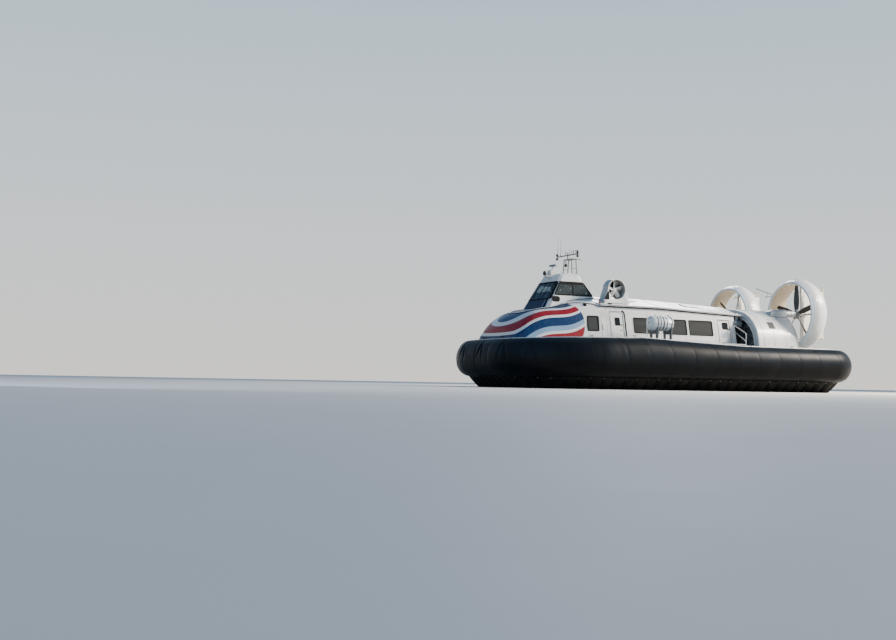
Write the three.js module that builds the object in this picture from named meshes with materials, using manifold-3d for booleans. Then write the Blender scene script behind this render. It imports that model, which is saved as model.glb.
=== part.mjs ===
// A twin-propeller passenger hovercraft on an inflated skirt, as an assembly of separate pieces.
// Lengths are in millimetres: +X to the bow, +Y to port, +Z up, skirt hem on the floor at z = 0.
import * as THREE from 'three';
import { mergeVertices } from 'three/addons/utils/BufferGeometryUtils.js';
import Module from 'manifold-3d';

// Driving dimensions
const GAP = 0.3;
const WALL = 80;
const DECK = 2400;

// Deck edge seen from above: a rectangle with round corners, wide ones at the bow
const EDGE = { halfLength: 10200, halfBeam: 5400, bowRadius: 4000, sternRadius: 1200 };
// Height of the deck edge trim along the craft: x, z
const SHEER = [[-11500, 2500], [-2700, 2530], [0, 2630], [4100, 2800], [7600, 2710], [11500, 2610]];
const BOW_STEPS = 9;
const STERN_STEPS = 4;
const RAFT = { bottom: 1250, chineZ: 1700, chineIn: 900 };
const PAD = { bottom: 1000, length: 3200, width: 500, x: 4600, y: 2700 };
const GUNWALE_WIDTH = 120;
const TRIM = 60;
const BOLLARD = { x: 10140, y: 900, radius: 38, height: 170 };

// Inflated bag: distance outside the deck edge and height, from the crown down to the finger line
const BAG_OUTER = [
  [360, 2620], [700, 2400], [910, 2040], [1000, 1600], [930, 1180], [720, 850], [430, 660], [150, 600]];
const FINGER = { top: 600, topOut: 230, topIn: -430, hemOut: -330, hemIn: -640, crease: 75, count: 84 };

// Passenger cabin: side walls lean inwards, the roof falls aft of its knee
const LEAN = Math.tan(THREE.MathUtils.degToRad(11.6));
const CABIN = {
  front: 4900, rear: -4300, halfWidth: 3046, eaveZ: 4640, knee: 900, fall: 0.038, passage: -4950 };
// Roof section on the port side: y, z at the knee
const ROOF_OUT = [[2750, 4720], [1500, 5040], [750, 5250]];
const ROOF_IN = [[750, 5168], [1440, 4975], [2450, 4715]];
const ROOF_CROWN = 5330;
const WINDOW = { bottom: 3200, top: 4020, spans: [[-2720, -1090], [-880, 750], [1080, 2710]] };
const GLASS = { sheet: 10, recess: 12, margin: 70 };
// Doors in the side walls: front edge, rear edge, sill and head
const DOORS = {
  front_door: { x1: 4290, x0: 3410, z0: 2500, z1: 4330 },
  aft_door: { x1: -3150, x0: -4000, z0: 2500, z1: 4130 },
};
const DOOR = { thick: 60, clear: 9, head: 20 };
// Door handle: distance from the free edge, length, height of its middle, depth of the bar and its reach
const HANDLE = { inset: 60, length: 140, z: 3320, bar: 40, reach: 45 };
// Door hinge barrel: its centre outside the wall face and ahead of the door's edge, and its strap on the leaf
const HINGE = { out: 12, ahead: 15, radius: 11.5, length: 120, fromEnd: 250, leaf: 4, strap: [20, 80] };

// Nose: x, half width at the deck, shoulder y and z, upper side y and z, crown z
const NOSE = [
  [4900, 3046, 2610, 4620, 1500, 5030, 5320],
  [6200, 3040, 2600, 4400, 1650, 4820, 5000],
  [7200, 3030, 2560, 4160, 1750, 4510, 4530],
  [8000, 3000, 2500, 3960, 1800, 4350, 4360],
  [8600, 2940, 2450, 3760, 1850, 4170, 4240],
  [9100, 2840, 2380, 3500, 1850, 3870, 4040],
  [9500, 2720, 2340, 3220, 1700, 3560, 3750],
  [9800, 2560, 2230, 2930, 1550, 3200, 3370],
  [9910, 2370, 2060, 2760, 1400, 2930, 3040],
  [9990, 1950, 1650, 2560, 1000, 2640, 2700],
];
const NOSE_SAMPLES = 7;
const NOSE_WINDOW = { x0: 5090, x1: 5760, z0: 3230, z1: 4000 };

// Wheelhouse: z, front x, rear x, half width, cut of the front corners
const WHEELHOUSE = [
  [4050, 7930, 3400, 1500, 200],
  [6010, 6770, 4990, 1130, 160],
];
const WHEELHOUSE_CAP = [
  [6010, 6770, 4990, 1130, 160],
  [6390, 6540, 5140, 990, 150],
  [6510, 6280, 5200, 800, 140],
  [6550, 5950, 5300, 540, 100],
];
const SHELL = 60;
const SCREEN = { z0: 5000, z1: 5950, y0: 1210, y1: 1050 };
const SIDE_PANE = [[6950, 5250], [6570, 5950], [5060, 5950], [4540, 5250]];
// Inner limit of the side panes, clear of the windscreen: y at the head, and its spread below
const SIDE_PANE_INNER = { y: 1068, spread: 0.193 };
const REAR_PANE = { y: 760, z0: 5350, z1: 5900 };
const FLOOR = { x0: 3560, x1: 7820, y: 1520, thick: 80, wallX0: 4300, wallX1: 7300, wallY: 900 };

// Frame mast on the wheelhouse roof: two legs a side, a top frame, a yard with lamps and an arm aft
const MAST = {
  foreX: 5400, aftX: 5100, footY: 490, headY: 400, frameZ: 7400, armX: 4560,
  yardZ: 7560, yard: 1130, leg: 30, bar: 26, lampRadius: 70, lampHeight: 150, lampStep: 95, whip: 15,
};
// Whip aerials: place along the yard and length
const WHIPS = [[-0.97, 1270], [-0.55, 1100], [0.2, 420]];
const RADAR = { x: 6370, z: 6960, length: 600, stem: 60 };
const LAMP = { x: 6850, shelf: 6390, radius: 130 };
// Side outline of the radar pedestal with the searchlight shelf ahead of it: x, z
const PEDESTAL = [[6000, 6300], [6460, 6300], [6900, 6330], [6900, 6370], [6630, 6370], [6630, 6700],
  [6480, 6760], [6220, 6760], [6000, 6560]];
const PEDESTAL_HALF = 210;

// Bow thruster housings on the roof shoulders
const THRUSTER = {
  x: 3590, z: 5610, y0: 1800, y1: 2400, outer: 610, bore: 545, footFront: 4650, footRear: 2690 };
const THRUSTER_FAN = { y: 2100, radius: 515, hub: 135, vanes: 5, depth: 140, chord: 230, pitch: 0.6 };

// Liferaft canisters on the side decks
const CANISTER = { x0: 1180, x1: 2715, y: 4200, z: 3700, radius: 425, saddles: [1420, 2330] };

// Machinery casing behind the cabin: port half section, y, z
const CASING = { front: -4950, rear: -7900, outline: [[4250, 2400], [4220, 2740], [4130, 3250], [3930, 3720],
  [3560, 4180], [3000, 4560], [2330, 4780], [1500, 4880]], crown: 5030, centre: 1500, lip: 380 };
const LIFT_FAN = { x: -5450, y: 2850, z: 3300, radius: 700, depth: 340, blades: 12 };
const ENGINE = { x0: -7600, x1: -6200, halfWidth: 500, top: 3650, shaft: 70 };

// Propulsion ducts: bulge is how far the outer face falls away from its middle to its ends
const DUCT = { x0: -9520, x1: -8320, y: 2915, z: 4680, outer: 2150, bore: 1820, bulge: 190 };
const PROP = { x: -8900, radius: 1770, hub: 260, depth: 400, blades: 5 };
// Angle of the first blade from upright at rest, in degrees, on each side
const PROP_REST = { port: 0, starboard: 20 };
const NACELLE = { x1: -9120, x0: -9600, radius: 240, strutX0: -9480, strutX1: -9200, strut: 130 };
const RUDDER = {
  x: -9840, chord: 760, thick: 120, half: 1400, offset: 560, beam: 70, beamHalf: 1240, tie: 1100 };
// Side outline of each shaft fairing on the casing: x, z
const FAIRING = [[-6650, 4200], [-6650, 4560], [-6820, 4800], [-7080, 4900], [-7899, 4920], [-7899, 4200]];
const FAIRING_HALF = 300;

// Passenger seats: first row, spacing, and the block of seats from the aisle outwards
const SEATS = { rows: 8, first: -3700, pitch: 900, y0: 750, y1: 2400, depth: 480, cushion: 2880, back: 3520 };

// Handrail at the aft passage: end of the rail, outer post, foot of the fore post and heights
const RAIL = {
  x: -4200, y: 4000, foreX: -2600, innerY: 2900, topIn: 3850, topOut: 3350, low: 2700, radius: 23 };

// Finishes
const LOOKS = {
  white_paint: { color: 0xe9ecee, roughness: 0.35, metalness: 0.0 },
  livery: { color: 0xdfe5ec, roughness: 0.3, metalness: 0.0 },
  deck_paint: { color: 0x9aa3a8, roughness: 0.7, metalness: 0.0 },
  skirt_rubber: { color: 0x15171a, roughness: 0.6, metalness: 0.0 },
  finger_rubber: { color: 0x101113, roughness: 0.7, metalness: 0.0 },
  dark_glass: { color: 0x2a3136, roughness: 0.08, metalness: 0.0 },
  grey_metal: { color: 0x8f989d, roughness: 0.5, metalness: 0.6 },
  black_metal: { color: 0x1b1c1e, roughness: 0.5, metalness: 0.3 },
  canister_shell: { color: 0xd9dde0, roughness: 0.4, metalness: 0.0 },
  seat_fabric: { color: 0x27406b, roughness: 0.9, metalness: 0.0 },
  engine_cast: { color: 0x5c6166, roughness: 0.6, metalness: 0.5 },
};

const wasm = await Module();
wasm.setup();
const root = new THREE.Group();
const finishes = Object.fromEntries(
  Object.entries(LOOKS).map(([name, look]) => [name, new THREE.MeshStandardMaterial({ name, ...look })]));

// Geometry helpers
function signedVolume(points, index) {
  const corner = (k) => new THREE.Vector3().fromBufferAttribute(points, index[k]);
  let sum = 0;
  for (let k = 0; k < index.length; k += 3) {
    sum += corner(k).dot(corner(k + 1).cross(corner(k + 2))) / 6;
  }
  return sum;
}

// Closed solid from any closed three.js geometry, with its faces turned outwards
function solid(geometry) {
  const bare = geometry.clone();
  bare.deleteAttribute('normal');
  bare.deleteAttribute('uv');
  const merged = mergeVertices(bare, 1e-3);
  const index = Array.from(merged.index.array);
  if (signedVolume(merged.attributes.position, index) < 0) {
    index.reverse();
  }
  const mesh = new wasm.Mesh({
    numProp: 3,
    vertProperties: new Float32Array(merged.attributes.position.array),
    triVerts: new Uint32Array(index),
  });
  return new wasm.Manifold(mesh);
}

function geometryOf(body) {
  const mesh = body.getMesh();
  const geometry = new THREE.BufferGeometry();
  geometry.setAttribute('position', new THREE.BufferAttribute(new Float32Array(mesh.vertProperties), 3));
  geometry.setIndex(new THREE.BufferAttribute(new Uint32Array(mesh.triVerts), 1));
  geometry.computeVertexNormals();
  return geometry;
}

function moved(body, matrix) {
  return solid(geometryOf(body).applyMatrix4(matrix));
}

const shifted = (body, x, y, z) => moved(body, new THREE.Matrix4().makeTranslation(x, y, z));
const mirrored = (body) => moved(body, new THREE.Matrix4().makeScale(1, -1, 1));
const joined = (bodies) => bodies.reduce((sum, body) => sum.add(body));
const without = (body, cutters) => cutters.reduce((rest, cutter) => rest.subtract(cutter), body);

function box(x0, x1, y0, y1, z0, z1) {
  const geometry = new THREE.BoxGeometry(Math.abs(x1 - x0), Math.abs(y1 - y0), Math.abs(z1 - z0));
  return solid(geometry.translate((x0 + x1) / 2, (y0 + y1) / 2, (z0 + z1) / 2));
}

// Flat outline pushed along one axis: along x the outline is [y, z], along y [x, z], along z [x, y]
function prism(outline, axis, from, to) {
  const shape = new THREE.Shape(outline.map(([u, v]) => new THREE.Vector2(u, v)));
  const geometry = new THREE.ExtrudeGeometry(shape, { depth: to - from, bevelEnabled: false });
  const x = new THREE.Vector3(1, 0, 0);
  const y = new THREE.Vector3(0, 1, 0);
  const z = new THREE.Vector3(0, 0, 1);
  const basis = { x: [y, z, x], y: [x, z, y], z: [x, y, z] }[axis];
  geometry.translate(0, 0, from);
  return solid(geometry.applyMatrix4(new THREE.Matrix4().makeBasis(...basis)));
}

// Round bar between two points
function rod(a, b, radius, sides = 8) {
  const start = new THREE.Vector3(...a);
  const along = new THREE.Vector3(...b).sub(start);
  const geometry = new THREE.CylinderGeometry(radius, radius, along.length(), sides);
  geometry.translate(0, along.length() / 2, 0);
  const upright = new THREE.Vector3(0, 1, 0);
  const turn = new THREE.Quaternion().setFromUnitVectors(upright, along.clone().normalize());
  geometry.applyQuaternion(turn);
  return solid(geometry.translate(start.x, start.y, start.z));
}

// Turned solid about the x axis from a profile of [x, radius]
function turned(profile, segments) {
  const points = profile.map(([x, radius]) => new THREE.Vector2(radius, x));
  const geometry = new THREE.LatheGeometry(points, segments);
  return solid(geometry.rotateZ(-Math.PI / 2));
}

// Skin through closed loops that have the same number of points, with flat ends
function loft(loops) {
  const size = loops[0].length;
  const points = loops.flat();
  const index = [];
  for (let row = 0; row + 1 < loops.length; row += 1) {
    for (let k = 0; k < size; k += 1) {
      const next = (k + 1) % size;
      const [a, b] = [row * size + k, row * size + next];
      index.push(a, b, b + size, a, b + size, a + size);
    }
  }
  const ends = [[loops[0], 0, true], [loops.at(-1), (loops.length - 1) * size, false]];
  for (const [loop, first, back] of ends) {
    for (const [a, b, c] of capTriangles(loop)) {
      index.push(...(back ? [first + a, first + c, first + b] : [first + a, first + b, first + c]));
    }
  }
  return meshSolid(points, index);
}

// Triangles of a flat loop, seen along the axis that its face turns towards most
function capTriangles(loop) {
  const facing = new THREE.Vector3();
  loop.forEach((p, k) => {
    const q = loop[(k + 1) % loop.length];
    facing.add(new THREE.Vector3().crossVectors(new THREE.Vector3(...p), new THREE.Vector3(...q)));
  });
  const size = facing.toArray().map(Math.abs);
  const drop = size.indexOf(Math.max(...size));
  const keep = [[1, 2], [2, 0], [0, 1]][drop];
  const flat = loop.map((p) => new THREE.Vector2(p[keep[0]], p[keep[1]]));
  const turnedBack = THREE.ShapeUtils.isClockWise(flat);
  const faces = THREE.ShapeUtils.triangulateShape(turnedBack ? flat.slice().reverse() : flat, []);
  const real = (k) => (turnedBack ? loop.length - 1 - k : k);
  return faces.map(([a, b, c]) => (turnedBack ? [real(c), real(b), real(a)] : [a, b, c]));
}

function meshSolid(points, index) {
  const geometry = new THREE.BufferGeometry();
  geometry.setAttribute('position', new THREE.Float32BufferAttribute(points.flat(), 3));
  geometry.setIndex(index);
  return solid(geometry);
}

// Value at x on a line of [x, value] points
function along(table, x) {
  const last = table.length - 1;
  const k = Math.min(Math.max(table.findIndex(([end]) => end >= x), 1), last);
  const [x0, v0] = table[k - 1];
  const [x1, v1] = table[k];
  return v0 + (v1 - v0) * THREE.MathUtils.clamp((x - x0) / (x1 - x0), 0, 1);
}

function part(name, body, look, place = [0, 0, 0]) {
  const mesh = new THREE.Mesh(geometryOf(body), finishes[look].clone());
  mesh.name = name;
  mesh.position.set(...place);
  root.add(mesh);
}

// The same piece on both sides: built for port, mirrored for starboard
function pair(name, body, look, place = [0, 0, 0]) {
  part(`${name}_port`, body, look, place);
  part(`${name}_starboard`, mirrored(body), look, [place[0], -place[1], place[2]]);
}

// Deck edge as lines and quarter arcs, anticlockwise from the starboard quarter
function edgePath() {
  const { halfLength: a, halfBeam: b, bowRadius: big, sternRadius: small } = EDGE;
  const line = (x0, y0, x1, y1) => {
    const length = Math.hypot(x1 - x0, y1 - y0);
    const [nx, ny] = [(y1 - y0) / length, (x0 - x1) / length];
    return { length, at: (t) => ({ x: x0 + (x1 - x0) * t, y: y0 + (y1 - y0) * t, nx, ny }) };
  };
  const arc = (cx, cy, radius, quarter) => {
    const at = (t) => {
      const [nx, ny] = [Math.cos((quarter + t) * Math.PI / 2), Math.sin((quarter + t) * Math.PI / 2)];
      return { x: cx + radius * nx, y: cy + radius * ny, nx, ny };
    };
    return { length: radius * Math.PI / 2, at };
  };
  return [
    line(small - a, -b, a - big, -b), arc(a - big, big - b, big, -1),
    line(a, big - b, a, b - big), arc(a - big, b - big, big, 0),
    line(a - big, b, small - a, b), arc(small - a, b - small, small, 1),
    line(-a, b - small, -a, small - b), arc(small - a, small - b, small, 2),
  ];
}

// Stations where the deck edge turns or its height changes
function edgeStations() {
  const steps = [0, BOW_STEPS, 1, BOW_STEPS, 0, STERN_STEPS, 1, STERN_STEPS];
  const breaks = SHEER.map(([x]) => x).filter((x) => Math.abs(x) < 5900);
  return edgePath().flatMap((piece, k) => {
    if (steps[k] > 0) {
      return Array.from({ length: steps[k] }, (_, i) => piece.at(i / steps[k]));
    }
    const [start, end] = [piece.at(0), piece.at(1)];
    const inner = breaks.map((x) => (x - start.x) / (end.x - start.x)).sort((p, q) => p - q);
    return [0, ...inner].map((t) => piece.at(t));
  });
}

// Stations at even distances along the deck edge
function evenStations(count) {
  const path = edgePath();
  const total = path.reduce((sum, piece) => sum + piece.length, 0);
  return Array.from({ length: count }, (_, k) => {
    let rest = total * k / count;
    const piece = path.find(({ length }) => {
      const here = rest < length;
      rest -= here ? 0 : length;
      return here;
    });
    return piece.at(rest / piece.length);
  });
}

const beside = (station, out, z) => [station.x + station.nx * out, station.y + station.ny * out, z];

// Ring whose section runs round the deck edge: section(station, number) gives [out, z] points
function edgeRing(stations, section) {
  const columns = stations.map((station, k) =>
    section(station, k).map(([out, z]) => beside(station, out, z)));
  const rows = columns[0].length;
  const index = [];
  columns.forEach((column, k) => {
    const next = (k + 1) % columns.length;
    for (let i = 0; i < rows; i += 1) {
      const j = (i + 1) % rows;
      const [a, b, c, d] = [k * rows + i, next * rows + i, next * rows + j, k * rows + j];
      index.push(a, b, c, a, c, d);
    }
  });
  return meshSolid(columns.flat(), index);
}

// Buoyancy raft with its landing pads and flat deck
function hullRaft(stations) {
  const levels = [[-RAFT.chineIn, RAFT.bottom], [0, RAFT.chineZ], [0, DECK]];
  const raft = loft(levels.map(([out, z]) => stations.map((station) => beside(station, out, z))));
  const pads = [-PAD.x, PAD.x].flatMap((x) => [-PAD.y, PAD.y].map((y) => box(
    x - PAD.length / 2, x + PAD.length / 2, y - PAD.width / 2, y + PAD.width / 2,
    PAD.bottom, RAFT.bottom + 10)));
  return joined([raft, ...pads]);
}

function gunwale(stations) {
  const ring = edgeRing(stations, ({ x }) => {
    const top = along(SHEER, x);
    return [[0, DECK + GAP], [0, top], [-GUNWALE_WIDTH, top], [-GUNWALE_WIDTH, DECK + GAP]];
  });
  const foot = DECK + 100;
  const bollards = [-1, 1].flatMap((side) => [0, 260].map((step) => {
    const y = side * (BOLLARD.y + step);
    const top = along(SHEER, BOLLARD.x) + BOLLARD.height;
    return rod([BOLLARD.x, y, foot], [BOLLARD.x, y, top], BOLLARD.radius);
  }));
  return joined([ring, ...bollards]);
}

function skirtBag(stations) {
  const base = along(SHEER, 0);
  return edgeRing(stations, ({ x }) => {
    const top = along(SHEER, x) - TRIM;
    const rise = (z) => z + (top + TRIM - base) * Math.max(0, (z - RAFT.chineZ) / (base - RAFT.chineZ));
    const outer = BAG_OUTER.map(([out, z]) => [out, rise(z)]);
    const inner = [[FINGER.topIn, FINGER.top], [-RAFT.chineIn, RAFT.bottom - 2 * GAP],
      [GAP, RAFT.chineZ - GAP]];
    return [[GAP, top], ...outer, ...inner];
  });
}

// Row of fingers fused into one hem, creased between neighbours
function skirtFingers() {
  return edgeRing(evenStations(FINGER.count * 2), (_, k) => {
    const back = k % 2 ? 0 : FINGER.crease;
    return [[FINGER.topOut - back, FINGER.top - GAP], [FINGER.hemOut - back, 0],
      [FINGER.hemIn, 0], [FINGER.topIn, FINGER.top - GAP]];
  });
}

const roofDrop = (x) => Math.max(0, CABIN.knee - x) * CABIN.fall;
const halfLoop = (half, crown) => [...half, [0, crown], ...half.map(([y, z]) => [-y, z]).reverse()];

function cabinRoof() {
  const under = CABIN.eaveZ + GAP;
  const outer = halfLoop([[ROOF_OUT[0][0], under], ...ROOF_OUT], ROOF_CROWN);
  const inner = halfLoop([[ROOF_IN[2][0], under], ...ROOF_IN.slice().reverse()], ROOF_CROWN - WALL).reverse();
  const stations = [CABIN.front - GAP, CABIN.knee, CABIN.passage + GAP];
  const loops = stations.map((x) => [...outer, ...inner].map(([y, z]) => [x, y, z - roofDrop(x)]));
  return loft(loops);
}

// Everything below the outer face of the roof, to trim what stands on it
function underRoof() {
  const side = ROOF_OUT[0][0] + 200;
  const outline = halfLoop([[side, CABIN.eaveZ - 300], [side, CABIN.eaveZ + 20], ...ROOF_OUT], ROOF_CROWN);
  const stations = [CABIN.front + 400, CABIN.knee, CABIN.rear];
  return loft(stations.map((x) => outline.map(([y, z]) => [x, y, z + 2 * GAP - roofDrop(x)])));
}

// Tilts what is drawn upright so that it lies in the leaning side wall
function leaning(body) {
  const shear = new THREE.Matrix4().set(1, 0, 0, 0, 0, 1, -LEAN, LEAN * DECK, 0, 0, 1, 0, 0, 0, 0, 1);
  return moved(body, shear);
}

const rectangle = (x0, x1, z0, z1) => [[x0, z0], [x1, z0], [x1, z1], [x0, z1]];

function windowShapes(shrink) {
  return WINDOW.spans.map(([x0, x1]) =>
    rectangle(x0 + shrink, x1 - shrink, WINDOW.bottom + shrink, WINDOW.top - shrink));
}

function doorHole({ x0, x1, z0, z1 }) {
  const outline = rectangle(x0 - DOOR.clear, x1 + DOOR.clear, z0 - DOOR.clear, z1 + DOOR.head);
  return prism(outline, 'y', CABIN.halfWidth - 2 * WALL, CABIN.halfWidth + WALL);
}

function cabinSide() {
  const { front, rear, knee, eaveZ, halfWidth } = CABIN;
  const outline = [[rear, DECK + GAP], [front - GAP, DECK + GAP], [front - GAP, eaveZ], [knee, eaveZ],
    [rear, eaveZ - roofDrop(rear)]];
  const wall = prism(outline, 'y', halfWidth - WALL, halfWidth);
  const holes = windowShapes(0).map((shape) => prism(shape, 'y', halfWidth - 2 * WALL, halfWidth + WALL));
  return leaning(without(wall, [...holes, ...Object.values(DOORS).map(doorHole)]));
}

function cabinGlass() {
  const inner = CABIN.halfWidth - WALL;
  const [first, , last] = WINDOW.spans;
  const sheetShape = rectangle(first[0] - GLASS.margin, last[1] + GLASS.margin,
    WINDOW.bottom - GLASS.margin, WINDOW.top + GLASS.margin);
  const sheet = prism(sheetShape, 'y', inner - GAP - GLASS.sheet, inner - GAP);
  const panes = windowShapes(GAP).map((shape) =>
    prism(shape, 'y', inner - GLASS.sheet, CABIN.halfWidth - GLASS.recess));
  return leaning(joined([sheet, ...panes]));
}

function cabinRear() {
  const x0 = CABIN.rear - GAP - WALL;
  const low = roofDrop(x0) + 2;
  const wallAt = (z) => CABIN.halfWidth - LEAN * (z - DECK);
  const eave = CABIN.eaveZ - low;
  const half = [[wallAt(DECK + GAP), DECK + GAP], [wallAt(eave), eave], [ROOF_IN[2][0] - 5, eave],
    ...ROOF_IN.slice().reverse().map(([y, z]) => [y - 5, z - low])];
  return prism(halfLoop(half, ROOF_CROWN - WALL - low), 'x', x0, CABIN.rear - GAP);
}

// Door leaf with its handle and the two barrels that it turns on
function doorLeaf({ x0, x1, z0, z1 }) {
  const face = CABIN.halfWidth;
  const leaf = prism(rectangle(x0, x1, z0, z1), 'y', face - DOOR.thick, face);
  const grip = x0 + HANDLE.inset;
  const handle = box(grip, grip + HANDLE.length, face - 10, face + HANDLE.reach,
    HANDLE.z - HANDLE.bar / 2, HANDLE.z + HANDLE.bar / 2);
  const [x, y] = [x1 + HINGE.ahead, face + HINGE.out];
  const [near, far] = HINGE.strap;
  const hinges = [z0 + HINGE.fromEnd, z1 - HINGE.fromEnd].flatMap((z) => [
    rod([x, y, z], [x, y, z + HINGE.length], HINGE.radius, 16),
    box(x1 - far, x, y - HINGE.leaf, y + HINGE.leaf, z, z + HINGE.length),
    box(x1 - far, x1 - near, face - HINGE.leaf, y, z, z + HINGE.length)]);
  return joined([leaf, handle, ...hinges]);
}

function addDoors() {
  for (const [name, door] of Object.entries(DOORS)) {
    pair(name, leaning(doorLeaf(door)), 'white_paint');
  }
}

// One cross section of the nose, drawn through its row of the table and set in by a wall
function noseLoop([x, half, ys, zs, yu, zu, crown], inset) {
  const floor = DECK + (inset ? -50 : GAP);
  const flank = [(half + ys) / 2 + 20, (DECK + zs) / 2];
  const rows = [[half, DECK + GAP], flank, [ys, zs], [yu, zu], [0, crown], [-yu, zu], [-ys, zs],
    [-flank[0], flank[1]], [-half, DECK + GAP]];
  const curve = new THREE.SplineCurve(rows.map(([y, z]) => new THREE.Vector2(y, z)));
  const points = curve.getPoints(NOSE_SAMPLES * 2).map((p) => {
    const tall = Math.max(crown - DECK, 1);
    return [p.x * (1 - inset / half), DECK + (p.y - DECK) * (1 - inset / tall)];
  });
  points[0][1] = floor;
  points[points.length - 1][1] = floor;
  return points.map(([y, z]) => [x, y, z]);
}

function noseBody(inset) {
  const rows = NOSE.map((row) => [...row]);
  rows[0][0] += inset ? -50 : 0;
  const last = rows.at(-1);
  last[0] -= inset;
  if (inset) {
    rows.at(-2)[0] -= inset;
  }
  return loft(rows.map((row) => noseLoop(row, inset)));
}

const noseWindow = (shrink) => prism(rectangle(NOSE_WINDOW.x0 + shrink, NOSE_WINDOW.x1 - shrink,
  NOSE_WINDOW.z0 + shrink, NOSE_WINDOW.z1 - shrink), 'y', 1800, 3400);

function wheelhouseLoop([z, front, rear, half, cut], grow) {
  const [f, r, h] = [front + grow, rear - grow, half + grow];
  const quarter = [[f, h - 2 * cut], [f - cut * 0.5, h - cut * 0.7], [f - 1.6 * cut, h], [r + cut, h],
    [r, h - cut]];
  const back = quarter.map(([x, y]) => [x, -y]).reverse();
  return [...quarter, ...back].map(([x, y]) => [x, y, z]);
}

const wheelhouseBody = (rows, grow) => loft(rows.map((row) => wheelhouseLoop(row, grow)));

function stretched(rows, below, above) {
  const [first, last] = [rows[0], rows.at(-1)];
  const slope = (k) => (last[k] - first[k]) / (last[0] - first[0]);
  const at = (z) => [z, ...[1, 2, 3, 4].map((k) => first[k] + slope(k) * (z - first[0]))];
  return [at(first[0] - below), at(last[0] + above)];
}

function wheelhouseSkin() {
  const inner = wheelhouseBody(stretched(WHEELHOUSE, 50, 50), -SHELL);
  return wheelhouseBody(WHEELHOUSE, 0).subtract(inner);
}

const screenCutter = (s) => prism([[-SCREEN.y0 + s, SCREEN.z0 + s], [SCREEN.y0 - s, SCREEN.z0 + s],
  [SCREEN.y1 - s, SCREEN.z1 - s], [-SCREEN.y1 + s, SCREEN.z1 - s]], 'x', 6100, 8200);
const rearCutter = (s) => prism(rectangle(
  -REAR_PANE.y + s, REAR_PANE.y - s, REAR_PANE.z0 + s, REAR_PANE.z1 - s), 'x', 3600, 5100);

// Side pane pushed through the wall, its inner end spreading outwards below the head
function sideCutter(s) {
  const [x, z] = [5750, 5600];
  const outline = SIDE_PANE.map(([px, pz]) => [px - Math.sign(px - x) * s, pz - Math.sign(pz - z) * s]);
  const upright = prism(outline, 'y', SIDE_PANE_INNER.y + s, SIDE_PANE_INNER.y + 900);
  const { spread } = SIDE_PANE_INNER;
  const shear = new THREE.Matrix4().set(
    1, 0, 0, 0, 0, 1, -spread, spread * SCREEN.z1, 0, 0, 1, 0, 0, 0, 0, 1);
  return moved(upright, shear);
}

function addNoseAndWheelhouse() {
  const noseSkin = noseBody(0).subtract(noseBody(WALL));
  const hole = wheelhouseBody(stretched(WHEELHOUSE, 100, 100), GAP);
  const windows = [noseWindow(0), mirrored(noseWindow(0))];
  part('nose_shell', without(noseSkin, [hole, ...windows]), 'livery');
  pair('nose_window', noseSkin.intersect(noseWindow(GAP)), 'dark_glass');
  part('cabin_roof', cabinRoof().subtract(hole), 'white_paint');

  const skin = wheelhouseSkin();
  const cutters = [screenCutter(0), rearCutter(0), sideCutter(0), mirrored(sideCutter(0))];
  part('wheelhouse_shell', without(skin, cutters), 'white_paint');
  part('windscreen', skin.intersect(screenCutter(GAP)), 'dark_glass');
  part('wheelhouse_rear_glass', skin.intersect(rearCutter(GAP)), 'dark_glass');
  pair('wheelhouse_side_glass', skin.intersect(sideCutter(GAP)), 'dark_glass');

  const cap = WHEELHOUSE_CAP.map(([z, ...rest], k) => [k ? z : z + GAP, ...rest]);
  const [base, eave, shoulder] = WHEELHOUSE_CAP;
  const room = [[base[0] - SHELL, ...base.slice(1)], [eave[0] - 40, ...eave.slice(1)],
    [shoulder[0] - 40, ...shoulder.slice(1)]];
  part('wheelhouse_roof', wheelhouseBody(cap, 0).subtract(wheelhouseBody(room, -SHELL)), 'white_paint');
}

// Side outline of the helm console on the wheelhouse floor: x, z above the floor
const DESK = [[6500, 0], [7150, 0], [6900, 710], [6700, 910], [6420, 850], [6420, 650]];
const DESK_HALF = 980;
// Boxes of one crew seat: x from and to, half width, z above the floor from and to
const CREW_SEAT = [[5450, 5650, 90, 40, 510], [5250, 5780, 260, 470, 590], [5200, 5320, 250, 550, 1250]];
const CREW_SEAT_Y = 520;

function addWheelhouseInside() {
  const top = WHEELHOUSE[0][0] - GAP;
  const floor = box(FLOOR.x0, FLOOR.x1, -FLOOR.y, FLOOR.y, top - FLOOR.thick, top);
  const walls = [-FLOOR.wallY, FLOOR.wallY].map((y) =>
    box(FLOOR.wallX0, FLOOR.wallX1, y - 30, y + 30, DECK + GAP, top - FLOOR.thick / 2));
  part('wheelhouse_floor', joined([floor, ...walls]), 'deck_paint');
  const z = top + GAP;
  part('helm_console', prism(DESK.map(([x, up]) => [x, z + up]), 'y', -DESK_HALF, DESK_HALF), 'black_metal');
  const seats = [-CREW_SEAT_Y, CREW_SEAT_Y].flatMap((y) => CREW_SEAT.map(([x0, x1, half, z0, z1]) =>
    box(x0, x1, y - half, y + half, z + z0, z + z1)));
  const plate = box(5300, 5800, -CREW_SEAT_Y - 280, CREW_SEAT_Y + 280, z, z + 60);
  part('crew_seats', joined([plate, ...seats]), 'seat_fabric');
}

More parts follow.
